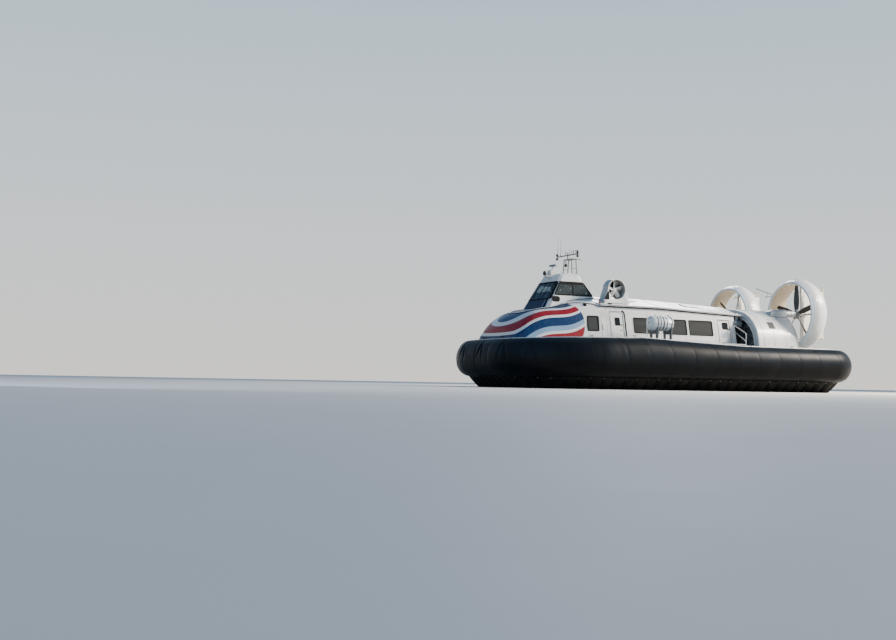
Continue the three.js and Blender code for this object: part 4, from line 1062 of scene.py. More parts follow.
def add_roof():
    half = [ROOF[0]] + spline(ROOF[1:], 8)
    section = half[:-1] + [(-y, z) for y, z in reversed(half)]
    stations = (4.8997, 0.95, 0.9, 0.85, -2.0, -4.9497)
    cover = skin([[(x, y, z - roof_drop(x)) for y, z in section] for x in stations], around=False)
    shell = cut(thickened(cover, 0.07), wheelhouse_core())
    joints = [pipe([roof_face(x, y, 0.0) for y in even(-2.6, 2.6, 53)], 0.012, 6)
              for x in (2.4, 0.9, -0.7, -2.9, -4.4)]
    gutters = [pipe([(x, side * 2.765, 4.7 - roof_drop(x)) for x in (4.86, 0.9, -4.9)], 0.02, 10)
               for _, side in SIDES]
    hatches = [surface_plate(round_rect(x - 0.5, x + 0.5, y - 0.34, y + 0.34, 0.06), (-0.01, 0.04), roof_face)
               for x, y in ((-2.07, 1.4), (-2.07, -1.4), (2.2, 1.2), (2.2, -1.2))]
    piece("cabin_roof_skin", [([shell], "white"), (joints + hatches, "hood"), (gutters, "white")],
          replaces=["cabin_roof"], angle=40)


# Wheelhouse
def screen_face(y, z, lift):
    """Point ahead of the wheelhouse's leaning front, round its cut corners."""
    corners = wheelhouse_ring(z)[:3]
    line = [(0.0, corners[0][0])] + [(cy, cx) for cx, cy, _ in corners]
    return along(line, abs(y)) + lift, y, z


def pane_wall(x, z, lift):
    """Point beside the wheelhouse's leaning port side."""
    return x, wheelhouse_ring(z)[2][1] + lift, z


def rear_wall(y, z, lift):
    """Point behind the wheelhouse's rear, with y counted to starboard."""
    return wheelhouse_ring(z)[4][0] - lift, -y, z


def screen_foot(y):
    """Height at which the nose meets the wheelhouse's front."""
    z = 4.4
    for _ in range(8):
        z = nose_top(screen_face(y, z, 0)[0], y)
    return z


def screen_row(share, half, heights):
    """Points (y, z) down the wheelhouse's front, a share of the way from its middle to its side."""
    return [(share * (half + (SCREEN["z"][0] - z) * SCREEN["taper"]), z) for z in heights]


def screen_panel():
    """Dark panel between the windscreen and the nose."""
    top = SCREEN["z"][0] - 0.03
    rows = [screen_row(share, 1.21, even(screen_foot(share * SCUTTLE_HALF) + 0.03, top, 7))
            for share in even(-1, 1, 25)]
    return sheet(rows, screen_face, (-0.002, 0.008))


def screen_blind(heights):
    """Dark sheet behind the windscreen, between given heights: painted shade seen through the glass."""
    return sheet([screen_row(share, 1.19, heights) for share in even(-1, 1, 21)], screen_face, (-0.11, -0.1))


def scuttle_panel():
    """Dark panel on the nose, from the foot of the windscreen to the trim rail."""
    rows = []
    for y in even(-SCUTTLE_HALF, SCUTTLE_HALF, 25):
        start = screen_face(y, screen_foot(y), 0)[0] - 0.01
        rows.append([(x, y) for x in even(start, along(SCUTTLE_END, abs(y)), 7)])
    return sheet(rows, lambda x, y, lift: (x, y, nose_top(x, y) + lift), (-0.004, 0.008))


def foot_bead():
    """White bead and black seams where the wheelhouse stands in the nose and the roof."""
    front = [screen_face(y, screen_foot(y), 0.0) for y in even(-1.1, 1.1, 23)]
    side = []
    for x in even(7.35, 3.57, 28):
        z = 4.8
        for _ in range(8):
            y = pane_wall(x, z, 0)[1]
            z = nose_top(x, y) if x > 4.9 else roof_height(x, y)
        side.append((x, y, z))
    ahead = [p for p in side if p[0] > 6.2]
    far = [(x, -y, z) for x, y, z in reversed(ahead)]
    seams = [pipe([(x, step * y, z) for x, y, z in side if x < 6.35], 0.03, 8) for _, step in SIDES]
    return pipe(far + front + ahead, 0.022, 8), seams


def wiper(y):
    arm = [screen_face(y, 4.96, 0.03), screen_face(y + 0.12, 5.2, 0.035), screen_face(y + 0.3, 5.5, 0.03)]
    blade = [screen_face(y + 0.25, 5.12, 0.022), screen_face(y + 0.34, 5.85, 0.022)]
    return [pipe(arm, 0.008, 6), pipe(blade, 0.012, 6)]


def add_wheelhouse():
    bevelled("wheelhouse_shell", 0.02)
    bevelled("wheelhouse_roof", 0.035)
    bevelled("wheelhouse_floor", 0.006, "deck")
    for name in ("wheelhouse_rear_glass", "wheelhouse_side_glass_port", "wheelhouse_side_glass_starboard"):
        finished(name, "clear")
    finished("windscreen", "screen")
    lined("wheelhouse_shell", (5.6, 0, 5.2))
    lined("wheelhouse_roof", (5.8, 0, 5.6))
    (z0, z1), (y0, y1) = SCREEN["z"], SCREEN["y"]
    front = [rim([(-y0, z0), (y0, z0), (y1, z1), (-y1, z1)], (-0.03, 0.04), (-0.03, 0.012),
                 screen_face, 0.06),
             surface_plate(fine(rect(-0.02, 0.02, z0, z1)), (-0.01, 0.015), screen_face),
             *wiper(-0.85), *wiper(0.25)]
    rear = rim(rect(*REAR_PANE[0], *REAR_PANE[1]), (-0.03, 0.04), (-0.02, 0.012), rear_wall, 0.06)
    sides = both(rim(SIDE_PANE, (-0.03, 0.045), (-0.03, 0.014), pane_wall, 0.07),
                 surface_plate(rect(5.735, 5.805, 5.25, 5.95), (-0.02, 0.012), pane_wall),
                 surface_plate(rect(5.1, 6.52, 5.86, 5.93), (-0.01, 0.01), pane_wall),
                 surface_plate(round_rect(6.67, 7.19, 4.83, 5.15, 0.14), (-0.002, 0.012), pane_wall))
    joint = skin([wheelhouse_ring(z, g)
                  for z, g in ((5.985, 0.0), (5.985, 0.006), (6.015, 0.006), (6.015, 0.0))], closed=True)
    bead, seams = foot_bead()
    piece("wheelhouse_seals", [([*front, rear, *sides, joint, *seams], "gasket"),
                               ([screen_panel(), scuttle_panel()], "panel"), ([bead], "white")])
    locker = block((5.0, -1.12, 4.053), (6.5, -0.8, 5.42), 0.02)
    # The dark sheets behind the windscreen and the starboard side pane are painted shade seen through the
    # glass.
    side_shade_sheet = mirrored(surface_plate(rect(4.62, 5.8, 5.2, 5.93), (-0.16, -0.15), pane_wall))
    piece("wheelhouse_locker", [([locker, side_shade_sheet, screen_blind((5.84, 5.94))], "lining"),
                                ([screen_blind((5.01, 5.2, 5.43))], "panel")])


def add_helm():
    outline = [(6.5, 0), (7.15, 0), (6.9, 0.71), (6.7, 0.91), (6.42, 0.85), (6.42, 0.65)]
    desk = prism([(x, HELM_FLOOR + up) for x, up in outline], "y", -0.98, 0.98, 0.02)
    tilt = Matrix.Rotation(math.radians(-12), 4, "Y")
    screens, keys, levers = [], [], []
    for y in (-0.72, -0.25, 0.25, 0.72):
        screen = placed(slab((0, 0), (0.012, 0.17), -0.11, 0.11), tilt)
        screens.append(shifted(screen, 6.66, y, HELM_FLOOR + 0.985))
        keys += [slab((6.56, side), (0.012, 0.018), HELM_FLOOR + 0.868, HELM_FLOOR + 0.882, 0.003)
                 for side in even(y - 0.12, y + 0.12, 5)]
    for y in (-0.08, 0.0, 0.08):
        levers.append(pipe([(6.47, y, HELM_FLOOR + 0.85), (6.44, y, HELM_FLOOR + 0.98)], 0.012, 8))
        levers.append(lathe(((0.97, 0), (0.972, 0.018), (1.0, 0.022), (1.02, 0.012), (1.024, 0)), 16, "z",
                            (6.442, y, HELM_FLOOR)))
    y, z, radius = 0.52, HELM_FLOOR + 0.78, 0.17
    wheel = [(6.36, y + radius * math.cos(a), z + radius * math.sin(a)) for a in circle(24)]
    helm = [pipe(wheel, 0.014, 8, closed=True), pipe([(6.45, y, z), (6.355, y, z)], 0.02, 8),
            pipe([(6.36, y - 0.16, z), (6.36, y + 0.16, z)], 0.01, 6)]
    piece("helm_desk", [([desk], "black"), (screens + keys, "panel"), (levers + helm, "steel")],
          replaces=["helm_console"])


def add_crew_seats():
    z = HELM_FLOOR + 0.0003
    stands, pads = [block((5.3, -0.8, z), (5.8, 0.8, z + 0.06), 0.01)], []
    for y in (-0.52, 0.52):
        stands.append(lathe(((z + 0.04, 0), (z + 0.04, 0.12), (z + 0.1, 0.06), (z + 0.46, 0.06),
                             (z + 0.48, 0.1), (z + 0.49, 0)), 24, "z", (5.55, y, 0)))
        seat_box = ((5.25, y - 0.26, z + 0.475), (5.78, y + 0.26, z + 0.59))
        pads += [pillow(*seat_box), piping(*seat_box, z + 0.555),
                 pillow((5.2, y - 0.25, z + 0.56), (5.32, y + 0.25, z + 1.06)),
                 pillow((5.205, y - 0.15, z + 1.05), (5.315, y + 0.15, z + 1.25), 0.45)]
        for arm in (y - 0.25, y + 0.25):
            pads.append(pillow((5.3, arm - 0.03, z + 0.72), (5.66, arm + 0.03, z + 0.77)))
            stands.append(pipe([(5.4, arm, z + 0.58), (5.4, arm, z + 0.73)], 0.015, 8))
    cloth = piece("crew_seat_pads", [(pads, "cloth")])
    piece("crew_seat_stands", [(stands, "black")], replaces=["crew_seats"])


def add_seats():
    """Seats of the cabin: rows of three a side."""
    pads, frames = [], []
    y0, y1 = SEATS["y"]
    width = (y1 - y0) / 3
    for row in range(SEATS["rows"]):
        x = SEATS["first"] + row * SEATS["pitch"]
        for seat in range(3):
            left, right = y0 + width * seat + 0.025, y0 + width * (seat + 1) - 0.025
            seat_box = ((x + 0.01, left, 2.77), (x + SEATS["depth"], right, SEATS["cushion"]))
            pads += [pillow(*seat_box), piping(*seat_box, 2.845),
                     pillow((x - 0.085, left, 2.84), (x + 0.03, right, 3.34)),
                     pillow((x - 0.08, left + 0.06, 3.33), (x + 0.02, right - 0.06, SEATS["back"]), 0.45)]
        for y in (y0 + 0.012, y0 + width, y1 - width, y1 - 0.012):
            frames.append(block((x + 0.02, y - 0.012, 3.02), (x + 0.36, y + 0.012, 3.05), 0.006))
            frames.append(block((x + 0.02, y - 0.01, 2.8), (x + 0.06, y + 0.01, 3.03), 0.005))
        for y in (y0 + 0.25, y1 - 0.2):
            frames.append(pipe([(x + 0.1, y, 2.48), (x + 0.14, y, 2.78)], 0.022, 8))
            frames.append(pipe([(x + 0.3, y, 2.48), (x + 0.26, y, 2.78)], 0.022, 8))
        frames.append(block((x + 0.04, y0 + 0.02, 2.745), (x + 0.44, y1 - 0.02, 2.775)))
    last = SEATS["first"] + (SEATS["rows"] - 1) * SEATS["pitch"] + 0.5
    for y in (y0 + 0.25, y1 - 0.2):
        frames.append(block((SEATS["first"] - 0.1, y - 0.04, DECK + 0.001), (last, y + 0.04, 2.49)))
    for seats in pair("seat_pads_{}", [(pads, "cloth")]):
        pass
    pair("seat_frames_{}", [(frames, "grey")], replaces=["passenger_seats_{}"])


# Mast, radar, searchlight and side lights
def yard_lamp(x, y, z):
    """Black lantern and its glass band."""
    low, high, radius = z - MAST["lamp_height"] / 2, z + MAST["lamp_height"] / 2, MAST["lamp"]
    case = turned(((low, radius * 0.8), (low + 0.02, radius), (high - 0.06, radius),
                   (high - 0.06, radius * 0.8), (high - 0.025, radius * 0.8), (high - 0.025, radius),
                   (high - 0.01, radius), (high, radius * 0.7)), 20, "z", (x, y, 0))
    return case, hoop((z + 0.016, z + 0.049), (0.05, 0.067), 20, "z", (x, y, 0))


def add_mast():
    foot, fore, aft = CAP_TOP, MAST["fore"], MAST["aft"]
    foot_y, head, frame_z, bar = MAST["foot"], MAST["head"], MAST["frame"], MAST["bar"]
    yard_z, yard = MAST["yard_z"], MAST["yard"]
    white, black, lenses = [], [], []
    for x in (fore, aft):
        white.append(pipe([(x, -head - 0.05, frame_z), (x, head + 0.05, frame_z)], bar, 12))
        for _, side in SIDES:
            white.append(slab((x, side * foot_y), (0.06, 0.06), foot, foot + 0.02, 0.005))
            white.append(pipe([(x, side * foot_y, foot + 0.01), (x, side * head, frame_z)], MAST["leg"], 12))
    for _, side in SIDES:
        white.append(pipe([(aft - 0.06, side * head, frame_z), (fore + 0.06, side * head, frame_z)], bar, 12))
        low = side * (foot_y + (head - foot_y) * 0.35)
        white.append(pipe([(aft, low, foot + 0.3), (fore, low, foot + 0.3)], 0.016, 8))
        for up in (-1, 1):
            case, lens = yard_lamp(fore + 0.04, side * yard, yard_z + up * MAST["lamp_step"])
            black.append(case)
            lenses.append(lens)
    white.append(pipe([(aft, head, frame_z), (MAST["arm"], head * 0.5, frame_z)], bar, 12))
    white.append(pipe([(aft, -head, frame_z), (aft, head, frame_z)], bar, 12))
    white.append(turned(((frame_z - 0.02, 0.034), (yard_z + 0.14, 0.034), (yard_z + 0.16, 0.02)), 20, "z",
                        (fore, 0, 0)))
    white.append(pipe([(fore, -yard, yard_z), (fore, yard, yard_z)], bar + 0.008, 12))
    for share, length in WHIPS:
        centre = (fore, share * yard, yard_z)
        black.append(lathe(((0.02, 0), (0.02, 0.022), (0.12, 0.018), (0.14, 0)), 12, "z", centre))
        white.append(turned(((0.1, 0.013), (length, 0.007)), 8, "z", centre))
    for y, height in STUBS:
        black.append(turned(((0, 0.016), (height - 0.05, 0.014), (height - 0.04, 0.032), (height, 0.03)),
                            12, "z", (fore, y, yard_z + 0.02)))
    y = -head * 0.5
    white.append(pipe([(fore, y, frame_z - 0.25), (fore, y, frame_z)], 0.028, 10))
    black.append(turned(((-0.42, 0.088), (-0.4, 0.09), (-0.27, 0.08), (-0.24, 0.04)), 24, "z",
                        (fore, y, frame_z)))
    piece("mast_frame", [(white, "mast"), (black, "black"), (lenses, "lens")],
          replaces=["mast"])


def add_roof_gear():
    bevelled("radar_pedestal", 0.03)
    section = [(-0.11, -0.03), (0.11, -0.03), (0.1, 0.03), (0.06, 0.09), (-0.06, 0.09), (-0.1, 0.03)]
    bar = prism(section, "y", -RADAR["half"], RADAR["half"], 0.018)
    window = prism(((0.098, -0.01), (0.106, -0.012), (0.1, 0.03)), "y", -0.24, 0.24)
    for shape in (bar, window):
        shifted(shape, RADAR["x"], 0, RADAR["z"])
    piece("radar_bar", [([bar], "grey"), ([window], "black")], "radar_scanner",
          ["radar_scanner"])
    centre, r = (LAMP["x"], 0, LAMP["z"]), LAMP["radius"]
    drum = turned(((-0.1, 0.05), (-0.09, 0.08), (-0.05, 0.113), (0, 0.126), (0.06, 0.127)), 40, "x", centre)
    ribs = [hoop((w, w + 0.012), (0.12, r), 40, "x", centre) for w in (0.01, 0.04)]
    front = lathe(((0.086, 0), (0.086, 0.108), (0.092, 0.108), (0.1, 0.06), (0.104, 0)), 40, "x", centre)
    bezel = lathe(((0.05, 0.11), (0.05, r - 0.001), (0.095, r), (0.11, r), (0.11, 0.112), (0.085, 0.11)),
                  40, "x", centre, True)
    piece("searchlight_drum", [([drum, *ribs], "hood"), ([bezel], "guard"), ([front], "pane")],
          "searchlight", ["searchlight"])
    x, y = 4.82, 2.5
    base = roof_height(x, y)
    lamp = slab((x, y), (0.06, 0.05), base - 0.01, base + 0.03, 0.006)
    eave_box = slab((4.26, 2.7), (0.1, 0.06), base - 0.12, base + 0.02, 0.012)
    lens = turned(((0.03, 0.045), (0.1, 0.045), (0.12, 0.02)), 20, "z", (x, y, base))
    piece("side_lights", [(both(lamp, eave_box), "guard"), ([lens], "red_lens"),
                          ([mirrored(lens)], "green_lens")])


# Bow thrusters
def thruster_reach(angle):
    """Distance from the tunnel's centre to the housing's outline in a direction of its side view."""
    rear, front = THRUSTER["foot"]
    cx, cz, outer = THRUSTER["x"], THRUSTER["z"], THRUSTER["outer"]
    ux, uz = math.cos(angle), math.sin(angle)
    if uz >= 0:
        return outer
    end = front if ux > 0 else rear
    start = cx + math.copysign(outer, ux)
    ex, ez = end - start, CABIN["eave"] - 0.2 - cz
    across = ux * ez - uz * ex
    reach = ((start - cx) * ez) / across if abs(across) > 1e-9 else 9.0
    return min(reach if reach > 0 else 9.0, ez / uz)


def thruster_loop(angle, section):
    """Points (x, y, z) from (radius, y) ones, raised to just under the cabin roof where they lie lower."""
    points = []
    for r, y in section:
        x = THRUSTER["x"] + r * math.cos(angle)
        points.append((x, y, max(THRUSTER["z"] + r * math.sin(angle), roof_height(x, y) - 0.03)))
    return points


def add_thrusters():
    (y0, y1), bore = THRUSTER["y"], THRUSTER["bore"]
    cx, cz = THRUSTER["x"], THRUSTER["z"]
    loops, band = [], []
    for angle in circle(144):
        reach = thruster_reach(angle)
        loops.append(thruster_loop(angle, [
            (reach - 0.03, y1), (reach - 0.009, y1 - 0.009), (reach, y1 - 0.03), (reach, y0 + 0.03),
            (reach - 0.009, y0 + 0.009), (reach - 0.03, y0), (bore + 0.025, y0), (bore + 0.006, y0 + 0.01),
            (bore, y0 + 0.035), (bore, y1 - 0.035), (bore + 0.006, y1 - 0.01), (bore + 0.025, y1)]))
        turn = angle - 2 * math.pi * (angle > math.pi)
        # The blue-grey band over the housing's front and top is painted shade on its forward-facing rim.
        if -62 < math.degrees(turn) < 118:
            band.append((turn, thruster_loop(angle, [
                (reach - 0.002, y0 + 0.02), (reach + 0.006, y0 + 0.03), (reach + 0.006, y1 - 0.03),
                (reach - 0.002, y1 - 0.02)])))
    shell, cover = skin(loops, closed=True), skin([loop for _, loop in sorted(band)])
    # The dark triangular plate and its slats low on the housing's side are painted shade of an opening there.
    grille = prism([(4.1, 5.02), (4.44, 5.02), (4.2, 5.5), (4.13, 5.45)], "y", y1 - 0.002, y1 + 0.006)
    guard = [grille]
    for k in range(4):
        z = 5.08 + 0.09 * k
        guard.append(prism(rect(4.12, 4.4 - 0.045 * k, z, z + 0.015), "y", y1 + 0.004, y1 + 0.012))
    # The black bars, struts and boss inboard of the fan are parts whose black also paints the shade seen
    # between the blades.
    for x in even(-0.51, 0.51, 21):
        reach = math.sqrt(bore * bore - x * x) - 0.004
        guard.append(prism(rect(cx + x - 0.003, cx + x + 0.003, cz - reach, cz + reach), "y", y0 + 0.004,
                           y0 + 0.066))
    strut = prism([(-0.05, 0.08), (0.05, 0.08), (0.09, bore + 0.01), (-0.09, bore + 0.01)], "y", y0 + 0.06,
                  y0 + 0.12, 0.008)
    guard += [shifted(shape, cx, 0, cz) for shape in turned_about(strut, 6, "Y")]
    guard.append(lathe(((y0 + 0.04, 0), (y0 + 0.05, 0.05), (y0 + 0.08, 0.085), (2.026, 0.09), (2.0297, 0.085),
                        (2.0297, 0)), 32, "y", (cx, 0, cz)))
    guard.append(pipe([(x, y1 + 0.004, roof_height(x, y1) + 0.004) for x in even(2.98, 4.28, 14)], 0.014, 8))
    tunnel = hoop((y0 + 0.036, y1 - 0.05), (bore - 0.004, bore + 0.002), 72, "y", (cx, 0, cz))
    fan = wheel_blades(5, ((0.07, 0.2, 0.6, 0.022), (0.3, 0.225, 0.6, 0.018), (0.48, 0.215, 0.56, 0.012),
                           (0.513, 0.15, 0.54, 0.008)))
    hub = lathe(((-0.07, 0), (-0.07, 0.12), (-0.06, 0.135), (0.03, 0.135), (0.055, 0.11), (0.068, 0.06),
                 (0.07, 0)),
                32)
    place = Matrix.Translation((cx, (y0 + y1) / 2, cz)) @ Matrix.Rotation(math.pi / 2, 4, "Z")
    pair("thruster_shell_{}", [([shell], "white"), ([cover], "hood"), (guard, "guard"), ([tunnel], "tunnel")],
         replaces=["thruster_housing_{}"])
    pair("thruster_wheel_{}", [([placed(hub, place), placed(fan, place)], "white")],
         "thruster_fan_{}", ["thruster_fan_{}"])


def wheel_blades(count, stations, steps=6):
    """Blades about the x axis, lofted through stations of (radius, chord, pitch, thickness)."""
    loops = []
    for radius, chord, pitch, thick in spline(stations, steps):
        loop = []
        for angle in circle(16):
            u = -chord / 2 * math.cos(angle)
            v = thick / 2 * math.sin(angle) * (1 - 0.45 * u / (chord / 2))
            loop.append((v * math.cos(pitch) - u * math.sin(pitch), u * math.cos(pitch) + v * math.sin(pitch),
                         radius))
        loops.append(loop)
    return merged(turned_about(skin(loops), count))


# Liferaft canisters
def add_canisters():
    (x0, x1), radius = CANISTER["x"], CANISTER["radius"]
    y, z = CANISTER["y"], CANISTER["z"]
    middle, half = (x0 + x1) / 2, (x1 - x0) / 2
    centre = (middle, y, z)
    dome = spline([(half - 0.24, radius), (half - 0.11, radius * 0.88), (half - 0.02, radius * 0.55),
                   (half, 0.0)], 5)
    profile = [(-w, r) for w, r in reversed(dome)] + [(-0.031, radius), (0.031, radius)] + dome
    loops = []
    for angle in circle(120):
        groove = 0.01 * (1 - math.cos(12 * angle))
        loop = []
        for w, r in profile:
            r -= groove * clamp((abs(w) - 0.2) / 0.25) * (r > 0.02)
            loop.append((middle + w, y + r * math.cos(angle), z + r * math.sin(angle)))
        loops.append(loop)
    shell = skin(loops, around=False, closed=True)
    flange = lathe(((-0.03, radius - 0.01), (-0.03, radius + 0.015), (-0.025, radius + 0.018),
                    (0.025, radius + 0.018), (0.03, radius + 0.015), (0.03, radius - 0.01)),
                   72, "x", centre, True)
    straps = [hoop((w - 0.025, w + 0.025), (radius - 0.01, radius + 0.006), 72, "x", centre)
              for w in (*(saddle - middle for saddle in CANISTER["saddles"]), -0.2, 0.2)]
    top = z + radius
    clips = [slab((saddle, y), (0.05, 0.03), top - 0.01, top + 0.045, 0.01) for saddle in CANISTER["saddles"]]
    valve = lathe(((-0.012, 0), (-0.012, 0.05), (-0.002, 0.05), (-0.001, 0)), 20, "x", (x1, y, z))
    pair("canister_{}", [([shell], "canister"), ([flange, *straps, *clips, valve], "black")],
         replaces=["raft_canister_{}"], angle=50)
    pole = pipe([(2.95, 4.4, DECK), (2.95, 4.4, 4.27)], 0.018, 10)
    pair("deck_pole_{}", [([pole, slab((2.95, 4.4), (0.01, 0.02), 4.0, 4.06, 0.004)], "white")])
    for name, _ in SIDES:
        bevelled(f"raft_cradle_{name}", 0.008, "engine")


# Machinery casing and what is in it
CASING_LINE = spline(CASING, 8)


def casing_loop(inset=0.0, floor=DECK + 0.0003):
    """Whole outline as (y, z), port to starboard, moved inwards."""
    line = CASING_LINE[:-1] + [(-y, z) for y, z in reversed(CASING_LINE)]
    points = [(y, max(floor, z)) for y, z in spread_line(line, inset)]
    return [(points[0][0], floor), *points[1:-1], (points[-1][0], floor)]


def casing_height(y):
    return height_at(CASING_LINE, abs(y))


def casing_face(x, share, lift):
    """Point above the casing's skin, share of the way from its deck edge to its crown on port."""
    line = casing_loop()
    half = line[:len(line) // 2 + 1]
    place = share * (len(half) - 1)
    k = min(int(place), len(half) - 2)
    (y0, z0), (y1, z1) = half[k], half[k + 1]
    length = math.hypot(y1 - y0, z1 - z0)
    y, z = blend(half[k], half[k + 1], place - k)
    return x, y + (z1 - z0) / length * lift, z + (y0 - y1) / length * lift


def add_casing():
    rear, front = CASING_X
    wall, lip = CASING_WALL, CASING_LIP
    outer = casing_loop()
    shell = prism(outer + casing_loop(wall)[::-1], "x", rear, front - wall)
    back = prism(outer, "x", rear, rear + wall)
    bay = block((front - wall, -1.5, DECK + 0.001), (front - 0.002, 1.5, 4.9), 0.01)
    # The flange is in pale blue paint; its blue also paints the shade on this forward-facing face.
    flange_profile = [(wall, wall * 0.5), (wall, 0.0), (0.03, 0.0), (0.01, 0.008), (0.0005, 0.03),
                      (0.0005, lip - 0.05), (0.012, lip - 0.012), (0.05, lip), (0.16, lip),
                      (0.16, lip - 0.03), (wall, lip - 0.04)]
    lines = [[(front - behind, y, z) for y, z in casing_loop(inset)] for behind, inset in flange_profile]
    flange = skin([list(loop) for loop in zip(*lines)])
    edge = pipe([(front - 0.02, y, z) for y, z in casing_loop(lip + 0.005)], 0.022, 8)
    joints = [pipe([(x, y, z) for y, z in outer], 0.008, 6) for x in (-5.4, -6.2, -7.0, -7.8)]
    low, high, fore, aft = LOUVRE
    louvre = [pipe([casing_face(x, share, 0.008) for x in (aft + 0.02, fore - 0.02)], 0.012, 6)
              for share in even(low + 0.01, high - 0.01, 5)]
    corners = ((aft, low), (fore, low), (fore, high), (aft, high), (aft, low))
    louvre.append(pipe([casing_face(x, share, 0.006) for x, share in corners], 0.01, 6))
    # Dark sheet behind the louvre's bars: painted shade in its openings.
    louvre.append(sheet([[(x, share) for share in even(low, high, 9)] for x in (aft, fore)], casing_face,
                        (-0.004, 0.004)))
    ledge = pipe([casing_face(x, 0.56, 0.02) for x in (-5.5, -6.15, -6.85)], 0.03, 10)
    beam = block((front - 0.3, 1.6, 4.2), (front - 0.2, 3.3, 4.3), 0.012)
    drum = turned(((-4.91, 0.19), (-4.88, 0.21), (-4.36, 0.21), (-4.33, 0.19)), 40, "x", (0, 2.6, 3.95))
    stay = slab((-4.62, 2.6), (0.1, 0.04), 4.12, 4.6)
    door = prism(round_rect(-0.45, 0.45, 2.56, 4.36, 0.08), "x", rear - 0.014, rear + 0.002)
    grip = pipe([(rear - out, 0.34, z)
                 for out, z in ((0.012, 3.4), (0.05, 3.42), (0.05, 3.58), (0.012, 3.6))], 0.01, 8)
    seal = pipe([(rear - 0.012, y, z) for y, z in round_rect(-0.47, 0.47, 2.54, 4.38, 0.09)], 0.012, 6,
                closed=True)
    vent = prism(round_rect(1.48, 2.32, 2.95, 3.85, 0.06), "x", rear - 0.014, rear + 0.002)
    # Dark slots across the vent: painted shade in its openings.
    slots = [block((rear - 0.022, 1.56, z), (rear - 0.012, 2.24, z + 0.045), 0.004)
             for z in even(3.02, 3.74, 9)]
    piece("casing_skin", [([shell, back, bay, *both(ledge, beam, vent), door], "white"), ([flange], "blue"),
                          ([edge], "white"), ([*joints, seal, grip, *both(*slots, *louvre)], "dark"),
                          (both(drum, stay), "grey")],
          replaces=["machinery_casing"], angle=40)


def add_machinery():
    place, r, half = [LIFT_FAN[key] for key in "xyz"], LIFT_FAN["radius"], LIFT_FAN["depth"] / 2
    back = turned(((-half, r - 0.01), (0.01 - half, r), (0.03 - half, r), (0.04 - half, r - 0.01),
                   (0.04 - half, 0.2), (0.0, 0.15), (half - 0.05, 0.12), (half - 0.02, 0.06)), 72)
    shroud = lathe(((half - 0.03, r - 0.01), (half - 0.03, r * 0.73), (half - 0.015, r * 0.72),
                    (half, r * 0.725), (half, r - 0.01), (half - 0.015, r)), 72, closed=True)
    curve = [(math.sin(0.35 * t) * 0.3 * t, r * (0.68 + 0.3 * t)) for t in even(0, 1, 7)]
    vane = prism([(y + 0.008, z) for y, z in curve] + [(y - 0.008, z) for y, z in reversed(curve)], "x",
                 0.035 - half, half - 0.02)
    fan = shifted(merged([back, shroud, *turned_about(vane, LIFT_FAN["blades"])]), *place)
    bolts = []
    for angle in circle(6):
        bolt = turned(((half - 0.02, 0.012), (half - 0.008, 0.01)), 6, "x",
                      (0, 0.085 * math.cos(angle + 0.5), 0.085 * math.sin(angle + 0.5)))
        bolts.append(shifted(bolt, *place))
    pair("lift_fan_wheel_{}", [([fan], "grey"), (bolts, "steel")], "lift_fan_{}",
         ["lift_fan_{}"])
    pipes = [pipe([(x, 2.35, 3.35), (x, 2.2, 3.35), (x, 2.2, 3.72), (x, 2.6, 3.75)], 0.035, 10)
             for x in even(-7.4, -6.4, 5)]
    cover = block((-7.5, 2.5, 3.64), (-6.3, 3.2, 3.78), 0.03)
    filters = [turned(((3.64, 0.12), (3.9, 0.12), (3.92, 0.1)), 24, "z", (x, 2.85, 0)) for x in (-7.1, -6.7)]
    pair("engine_fittings_{}", [([cover, *filters], "engine"), (pipes, "steel")])
    for name, _ in SIDES:
        bevelled(f"engine_{name}", 0.03, "engine")


# Propeller ducts, propellers and rudders
def duct_profile(steps=10):
    """Outer line of the duct's ring as (x, radius): round the lip from the bore, then to its rear edge."""
    (x0, x1), bore, bulge = DUCT["x"], DUCT["bore"], DUCT["bulge"]
    end = DUCT["outer"] - bulge
    lip = (end - bore) / 2
    start = x1 - lip
    front = [(start + lip * math.sin(angle), bore + lip - lip * math.cos(angle))
             for angle in even(0, math.pi, steps + 1)]
    back = [(start - share * (start - x0), end + bulge * (1 - (2 * share - 1) ** 2) - share * 0.06)
            for share in even(0, 1, 25)[1:]]
    return front, back


def foil(lead, trail, thick, steps=10):
    """Symmetric section from a round front at lead to a thin edge at trail, as (x, y)."""
    nose = lead - thick / 2
    points = [(nose + thick / 2 * math.cos(angle), thick / 2 * math.sin(angle))
              for angle in even(-math.pi / 2, math.pi / 2, steps + 1)]
    tail = [(nose + (trail - nose) * t, thick / 2 * (1 - t ** 1.7) + 0.006 * t)
            for t in (0.25, 0.5, 0.75, 1.0)]
    return points + tail + [(x, -y) for x, y in reversed(tail)]


def rudder_carriers():
    """Beams above and below the rudders, with their pivots and the coupling rod."""
    x, level = RUDDER["x"], RUDDER["half"] + 0.05
    shapes = [pipe([(x - 0.09, -1.15, level + 0.07), (x - 0.09, 1.15, level + 0.07)], 0.014, 8)]
    for up in (-1, 1):
        z = up * level
        shapes.append(slab((x, 0), (0.07, 1.24), z - 0.035, z + 0.035, 0.01))
        for y in (-1.1, 1.1):
            shapes.append(block((x, y - 0.06, z - 0.035), (DUCT["x"][0] + 0.03, y + 0.06, z + 0.035), 0.01))
        for y in (-RUDDER["offset"], RUDDER["offset"]):
            shapes.append(turned(((up * 1.4003, 0.03), (up * 1.44, 0.03)), 20, "z", (x, y, 0)))
            if up > 0:
                shapes.append(turned(((z + 0.034, 0.05), (z + 0.055, 0.045)), 20, "z", (x, y, 0)))
    return shapes


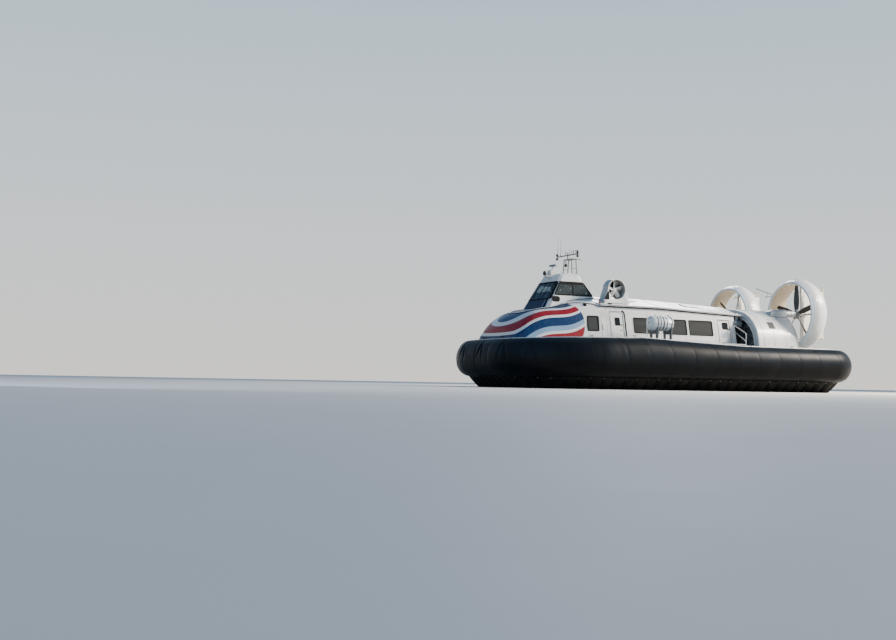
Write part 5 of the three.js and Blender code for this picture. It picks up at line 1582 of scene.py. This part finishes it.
def add_ducts():
    (x0, x1), bore = DUCT["x"], DUCT["bore"]
    front, back = duct_profile()
    steps = 120
    ring = lathe([(x0, bore)] + front + back, steps, closed=True)
    lining = lathe(((x0 + 0.002, bore - 0.006), (x1 - 0.09, bore - 0.006), (x1 - 0.08, bore + 0.002),
                    (x0 + 0.002, bore + 0.002)), steps, closed=True)
    # The bluish-white band round the lip is painted shade on its forward-facing face.
    lip = [(x + 0.003, r + 0.002) for x, r in front[3:]] + [(x, r + 0.004) for x, r in back[:3]]
    lip_band = lathe(lip + [(x - 0.006, r - 0.006) for x, r in reversed(lip)], steps, closed=True)
    bands = [hoop((x - 0.02, x + 0.02), (r - 0.004, r + 0.006), steps) for x, r in (back[6], back[15])]
    prop_back = PROP["x"] - PROP["depth"] / 2 - 0.0003
    nacelle = turned(((-9.6, 0.08), (-9.58, 0.11), (-9.52, 0.17), (-9.44, 0.22), (-9.36, 0.24), (-9.14, 0.24),
                      (-9.12, 0.225), (-9.12, 0.08), (prop_back, 0.08)), 48)
    struts = [prism(foil(-9.2, -9.48, 0.13), axis, -bore - 0.05, bore + 0.05) for axis in "zy"]
    foot = DECK + 0.0003 - DUCT["z"]
    loops = []
    for y in even(-0.784, 0.784, 13):
        top = -math.sqrt((bore + 0.06) ** 2 - y * y)
        loops.append([(x0 + 0.04, y, foot), (x1 - 0.08, y, foot), (x1 - 0.2, y, top), (x0 + 0.08, y, top)])
    pylon = rounded_edges(skin(loops), 0.012)
    parts = [(merged([ring, *bands, nacelle, *struts, pylon]), "white"), (lip_band, "canister"),
             (lining, "cream"), (merged(rudder_carriers()), "cream")]
    pair("duct_ring_{}", [([shifted(shape, 0, DUCT["y"], DUCT["z"])], look) for shape, look in parts],
         replaces=["duct_{}"], angle=40)
    x = -8.45
    arm = [pipe([(x, 1.25, 5.97), (x, -0.22, 6.42)], 0.022, 10),
           pipe([(x, 1.3, 5.86), (x, 0.72, 5.84)], 0.018, 10),
           pipe([(x, 0.8, 5.84), (x, 0.86, 6.08)], 0.012, 8)]
    lamp = lathe(((-0.05, 0), (-0.05, 0.035), (0.04, 0.05), (0.05, 0)), 20, "x", (x, 0.72, 5.84))
    piece("aerial_arm", [(arm, "mast"), ([lamp], "hood")])


def add_propellers():
    r, hub, half = PROP["radius"], PROP["hub"], PROP["depth"] / 2
    stations = ((hub * 0.5, 0.19, 1.0, 0.06), (r * 0.4, 0.32, 0.72, 0.046), (r * 0.75, 0.29, 0.45, 0.03),
                (r * 0.97, 0.2, 0.33, 0.017), (r, 0.12, 0.32, 0.01))
    blades = wheel_blades(PROP["blades"], stations, 8)
    cone = spline([(half * 0.2, hub), (half * 0.76, hub * 0.72), (half - 0.001, 0.03)], 6)
    spinner = lathe([(-half, 0), (-half, hub - 0.01), (0.01 - half, hub), *cone, (half, 0)], 48)
    cuff = turned(((hub - 0.03, 0.085), (hub + 0.03, 0.075), (hub + 0.045, 0.06)), 24, "z")
    middle = merged([spinner, *turned_about(cuff, PROP["blades"])])
    for (name, side), rest in zip(SIDES, (0, 20)):
        turn = (Matrix.Translation((PROP["x"], DUCT["y"], DUCT["z"]))
                @ Matrix.Rotation(math.radians(rest), 4, "X"))
        parts = []
        for shape, look in ((blades, "blade"), (middle, "grey")):
            wheel = placed(shape.copy(), turn)
            parts.append(([wheel if side > 0 else mirrored(wheel)], look))
        piece(f"propeller_wheel_{name}", parts, f"propeller_{name}", [f"propeller_{name}"])


def add_rudders():
    lead, trail, thick = RUDDER["lead"], -RUDDER["trail"], RUDDER["thick"]
    for place, step in (("inner", -1), ("outer", 1)):
        spot = (RUDDER["x"], DUCT["y"] + step * RUDDER["offset"], DUCT["z"])
        blade = prism(foil(lead, trail, thick), "z", -RUDDER["half"], RUDDER["half"])
        ribs = [prism(foil(lead - 0.001, trail + 0.001, thick + 0.004), "z", level - 0.02, level + 0.02)
                for level in (-1.36, -0.7, 0.0, 0.7, 1.36)]
        node_name = f"rudder_{place}_" + "{}"
        pair(f"rudder_blade_{place}_" + "{}", [([shifted(blade, *spot)], "rudder"),
                                               ([shifted(merged(ribs), *spot)], "white")],
             node_name, [node_name])


def add_fairings():
    y0, z0, half = DUCT["y"], DUCT["z"], 0.3
    top_line = spline([(-6.65, 4.56), (-6.72, 4.7), (-6.82, 4.8), (-7.08, 4.9), (-7.895, 4.92)], 4)
    loops = []
    for share in even(-1, 1, 25):
        y = y0 + share * half
        shrink = max(0.0, 1 - abs(share) ** 4) ** 0.25
        foot = casing_height(y) - 0.02
        top = [(x, y, foot + max(0.0, z - foot) * shrink) for x, z in top_line]
        loops.append([(top_line[0][0], y, foot), *top, (top_line[-1][0], y, foot)])
    tube = turned(((-7.89, 0.2), (-8.66, 0.2), (-8.675, 0.195), (-8.687, 0.18)), 48, "x", (0, y0, z0))
    rings = [lathe(((-0.02, 0.19), (-0.02, 0.2), (-0.015, 0.2), (0, 0.2), (0.02, 0.19)), 48, "x",
                   (x, y0, z0), True)
             for x in (-8.05, -8.35)]
    side = y0 + half
    bead = pipe([(x, side + 0.004, casing_height(side) + 0.006) for x in (-6.66, -7.28, -7.89)], 0.014, 8)
    # The hoods' blue-grey paint is painted shade.
    pair("shaft_hood_{}", [([skin(loops), tube], "hood"), ([*rings, bead], "gasket")],
         replaces=["shaft_fairing_{}"], angle=40)


def add_handrails():
    x, y, r, fore, inner = (RAIL[key] for key in ("x", "y", "radius", "fore", "inner"))
    top_in, top_out, low, foot = RAIL["top_in"], RAIL["top_out"], RAIL["low"], DECK + 0.001
    across = spline([(x, inner, top_in - 0.35), (x, inner, top_in - 0.08), (x, inner + 0.06, top_in - 0.02),
                     (x, (inner + y) / 2, 3.61), (x, y - 0.06, top_out + 0.02), (x, y, top_out - 0.06),
                     (x, y, 3.0), (x, y, foot)], 5)
    ahead = spline([(x, y, low), (-3.4, y, low), (fore - 0.06, y, low), (fore, y, low - 0.05),
                    (fore, y, foot)], 5)
    stay = [(x, inner, top_in - 0.33), (x, y, top_out - 0.45)]
    feet = [turned(((foot, 0.05), (DECK + 0.012, 0.05), (DECK + 0.015, 0.03)), 24, "z", (end, y, 0))
            for end in (x, fore)]
    pair("passage_rail_{}", [([pipe(across, r, 12), pipe(ahead, r, 12), pipe(stay, r - 0.005, 12), *feet],
                              "white")],
         replaces=["handrail_{}"])


def add_hull():
    """Raft, and the grip strips on its deck."""
    bevelled("hull_raft", 0.02, "deck")
    low = DECK + 0.001
    strips = both(slab((0.3, 3.55), (4.2, 0.35), low, DECK + 0.008, 0.002),
                  *(slab((x, 0.6), (0.2, 0.2), low, DECK + 0.03, 0.006) for x in (-8.9, -8.2)))
    piece("deck_strips", [(strips, "deck")])


# Camera, light and floor
def add_camera():
    """The photograph's view: low, off the port bow, looking a little upwards."""
    azimuth, heading, pitch, roll = (math.radians(CAMERA[key])
                                     for key in ("azimuth", "heading", "pitch", "roll"))
    distance = CAMERA["distance"]
    place = Vector((distance * math.cos(azimuth), distance * math.sin(azimuth), CAMERA["height"]))
    look = Vector((-math.cos(heading) * math.cos(pitch), -math.sin(heading) * math.cos(pitch),
                   math.sin(pitch)))
    turn = look.to_track_quat("-Z", "Y").to_matrix().to_4x4() @ Matrix.Rotation(roll, 4, "Z")
    data = bpy.data.cameras.new("camera")
    data.lens = CAMERA["lens"]
    data.clip_end = 500
    camera = bpy.data.objects.new("camera", data)
    camera.matrix_world = Matrix.Translation(place) @ turn
    bpy.context.scene.collection.objects.link(camera)
    bpy.context.scene.camera = camera


def add_light(name, place, target, size, power, colour):
    data = bpy.data.lights.new(name, "AREA")
    data.size = size
    data.energy = power
    data.color = colour
    light = bpy.data.objects.new(name, data)
    light.location = place
    light.rotation_euler = (Vector(target) - Vector(place)).to_track_quat("-Z", "Y").to_euler()
    bpy.context.scene.collection.objects.link(light)


def add_studio():
    """Warm soft light from the port quarter, cool light from the bow, a pale sky and a plain pale floor."""
    add_light("key", (-38, 23, 27), (0, 0, 3), 12, 66000, (1.0, 0.9, 0.78))
    add_light("fill", (40, 22, 10), (4, 0, 3), 20, 1500, (0.55, 0.76, 1.0))
    add_light("back", (-22, -30, 24), (0, 0, 3), 16, 9000, (1.0, 0.97, 0.93))
    world = bpy.data.worlds.new("sky")
    world.use_nodes = True
    bpy.context.scene.world = world
    tree = world.node_tree
    x, _, z = axes(tree, "Generated")
    pale = ramp(tree, z, ((0.0, (0.95, 0.93, 0.88)), (0.12, (0.84, 0.89, 0.92)), (0.3, (0.6, 0.76, 0.88)),
                          (0.45, (0.14, 0.28, 0.5))))
    cool = ramp(tree, z, ((0.0, (0.43, 0.48, 0.53)), (0.3, (0.35, 0.43, 0.5)), (0.45, (0.14, 0.25, 0.4))))
    background = tree.nodes["Background"]
    tree.links.new(blended(tree, fade(tree, x, 0.1, 0.6), pale, cool), background.inputs["Color"])
    background.inputs["Strength"].default_value = 1.1
    half, z = 160, -0.001
    mesh = bpy.data.meshes.new("floor")
    skin([[(-half, y, z), (half, y, z)] for y in (-half, half)], around=False).to_mesh(mesh)
    mesh.materials.append(material("pale_floor", (0.76, 0.72, 0.66), 0.7, mottle=0.03, grain=0.05))
    obj = bpy.data.objects.new("floor", mesh)
    bpy.context.scene.collection.objects.link(obj)


add_camera()
add_studio()
add_skirt()
add_deck_edge()
add_nose()
add_cabin()
add_roof()
add_wheelhouse()
add_helm()
add_crew_seats()
add_seats()
add_mast()
add_roof_gear()
add_thrusters()
add_canisters()
add_casing()
add_machinery()
add_ducts()
add_propellers()
add_rudders()
add_fairings()
add_handrails()
add_hull()
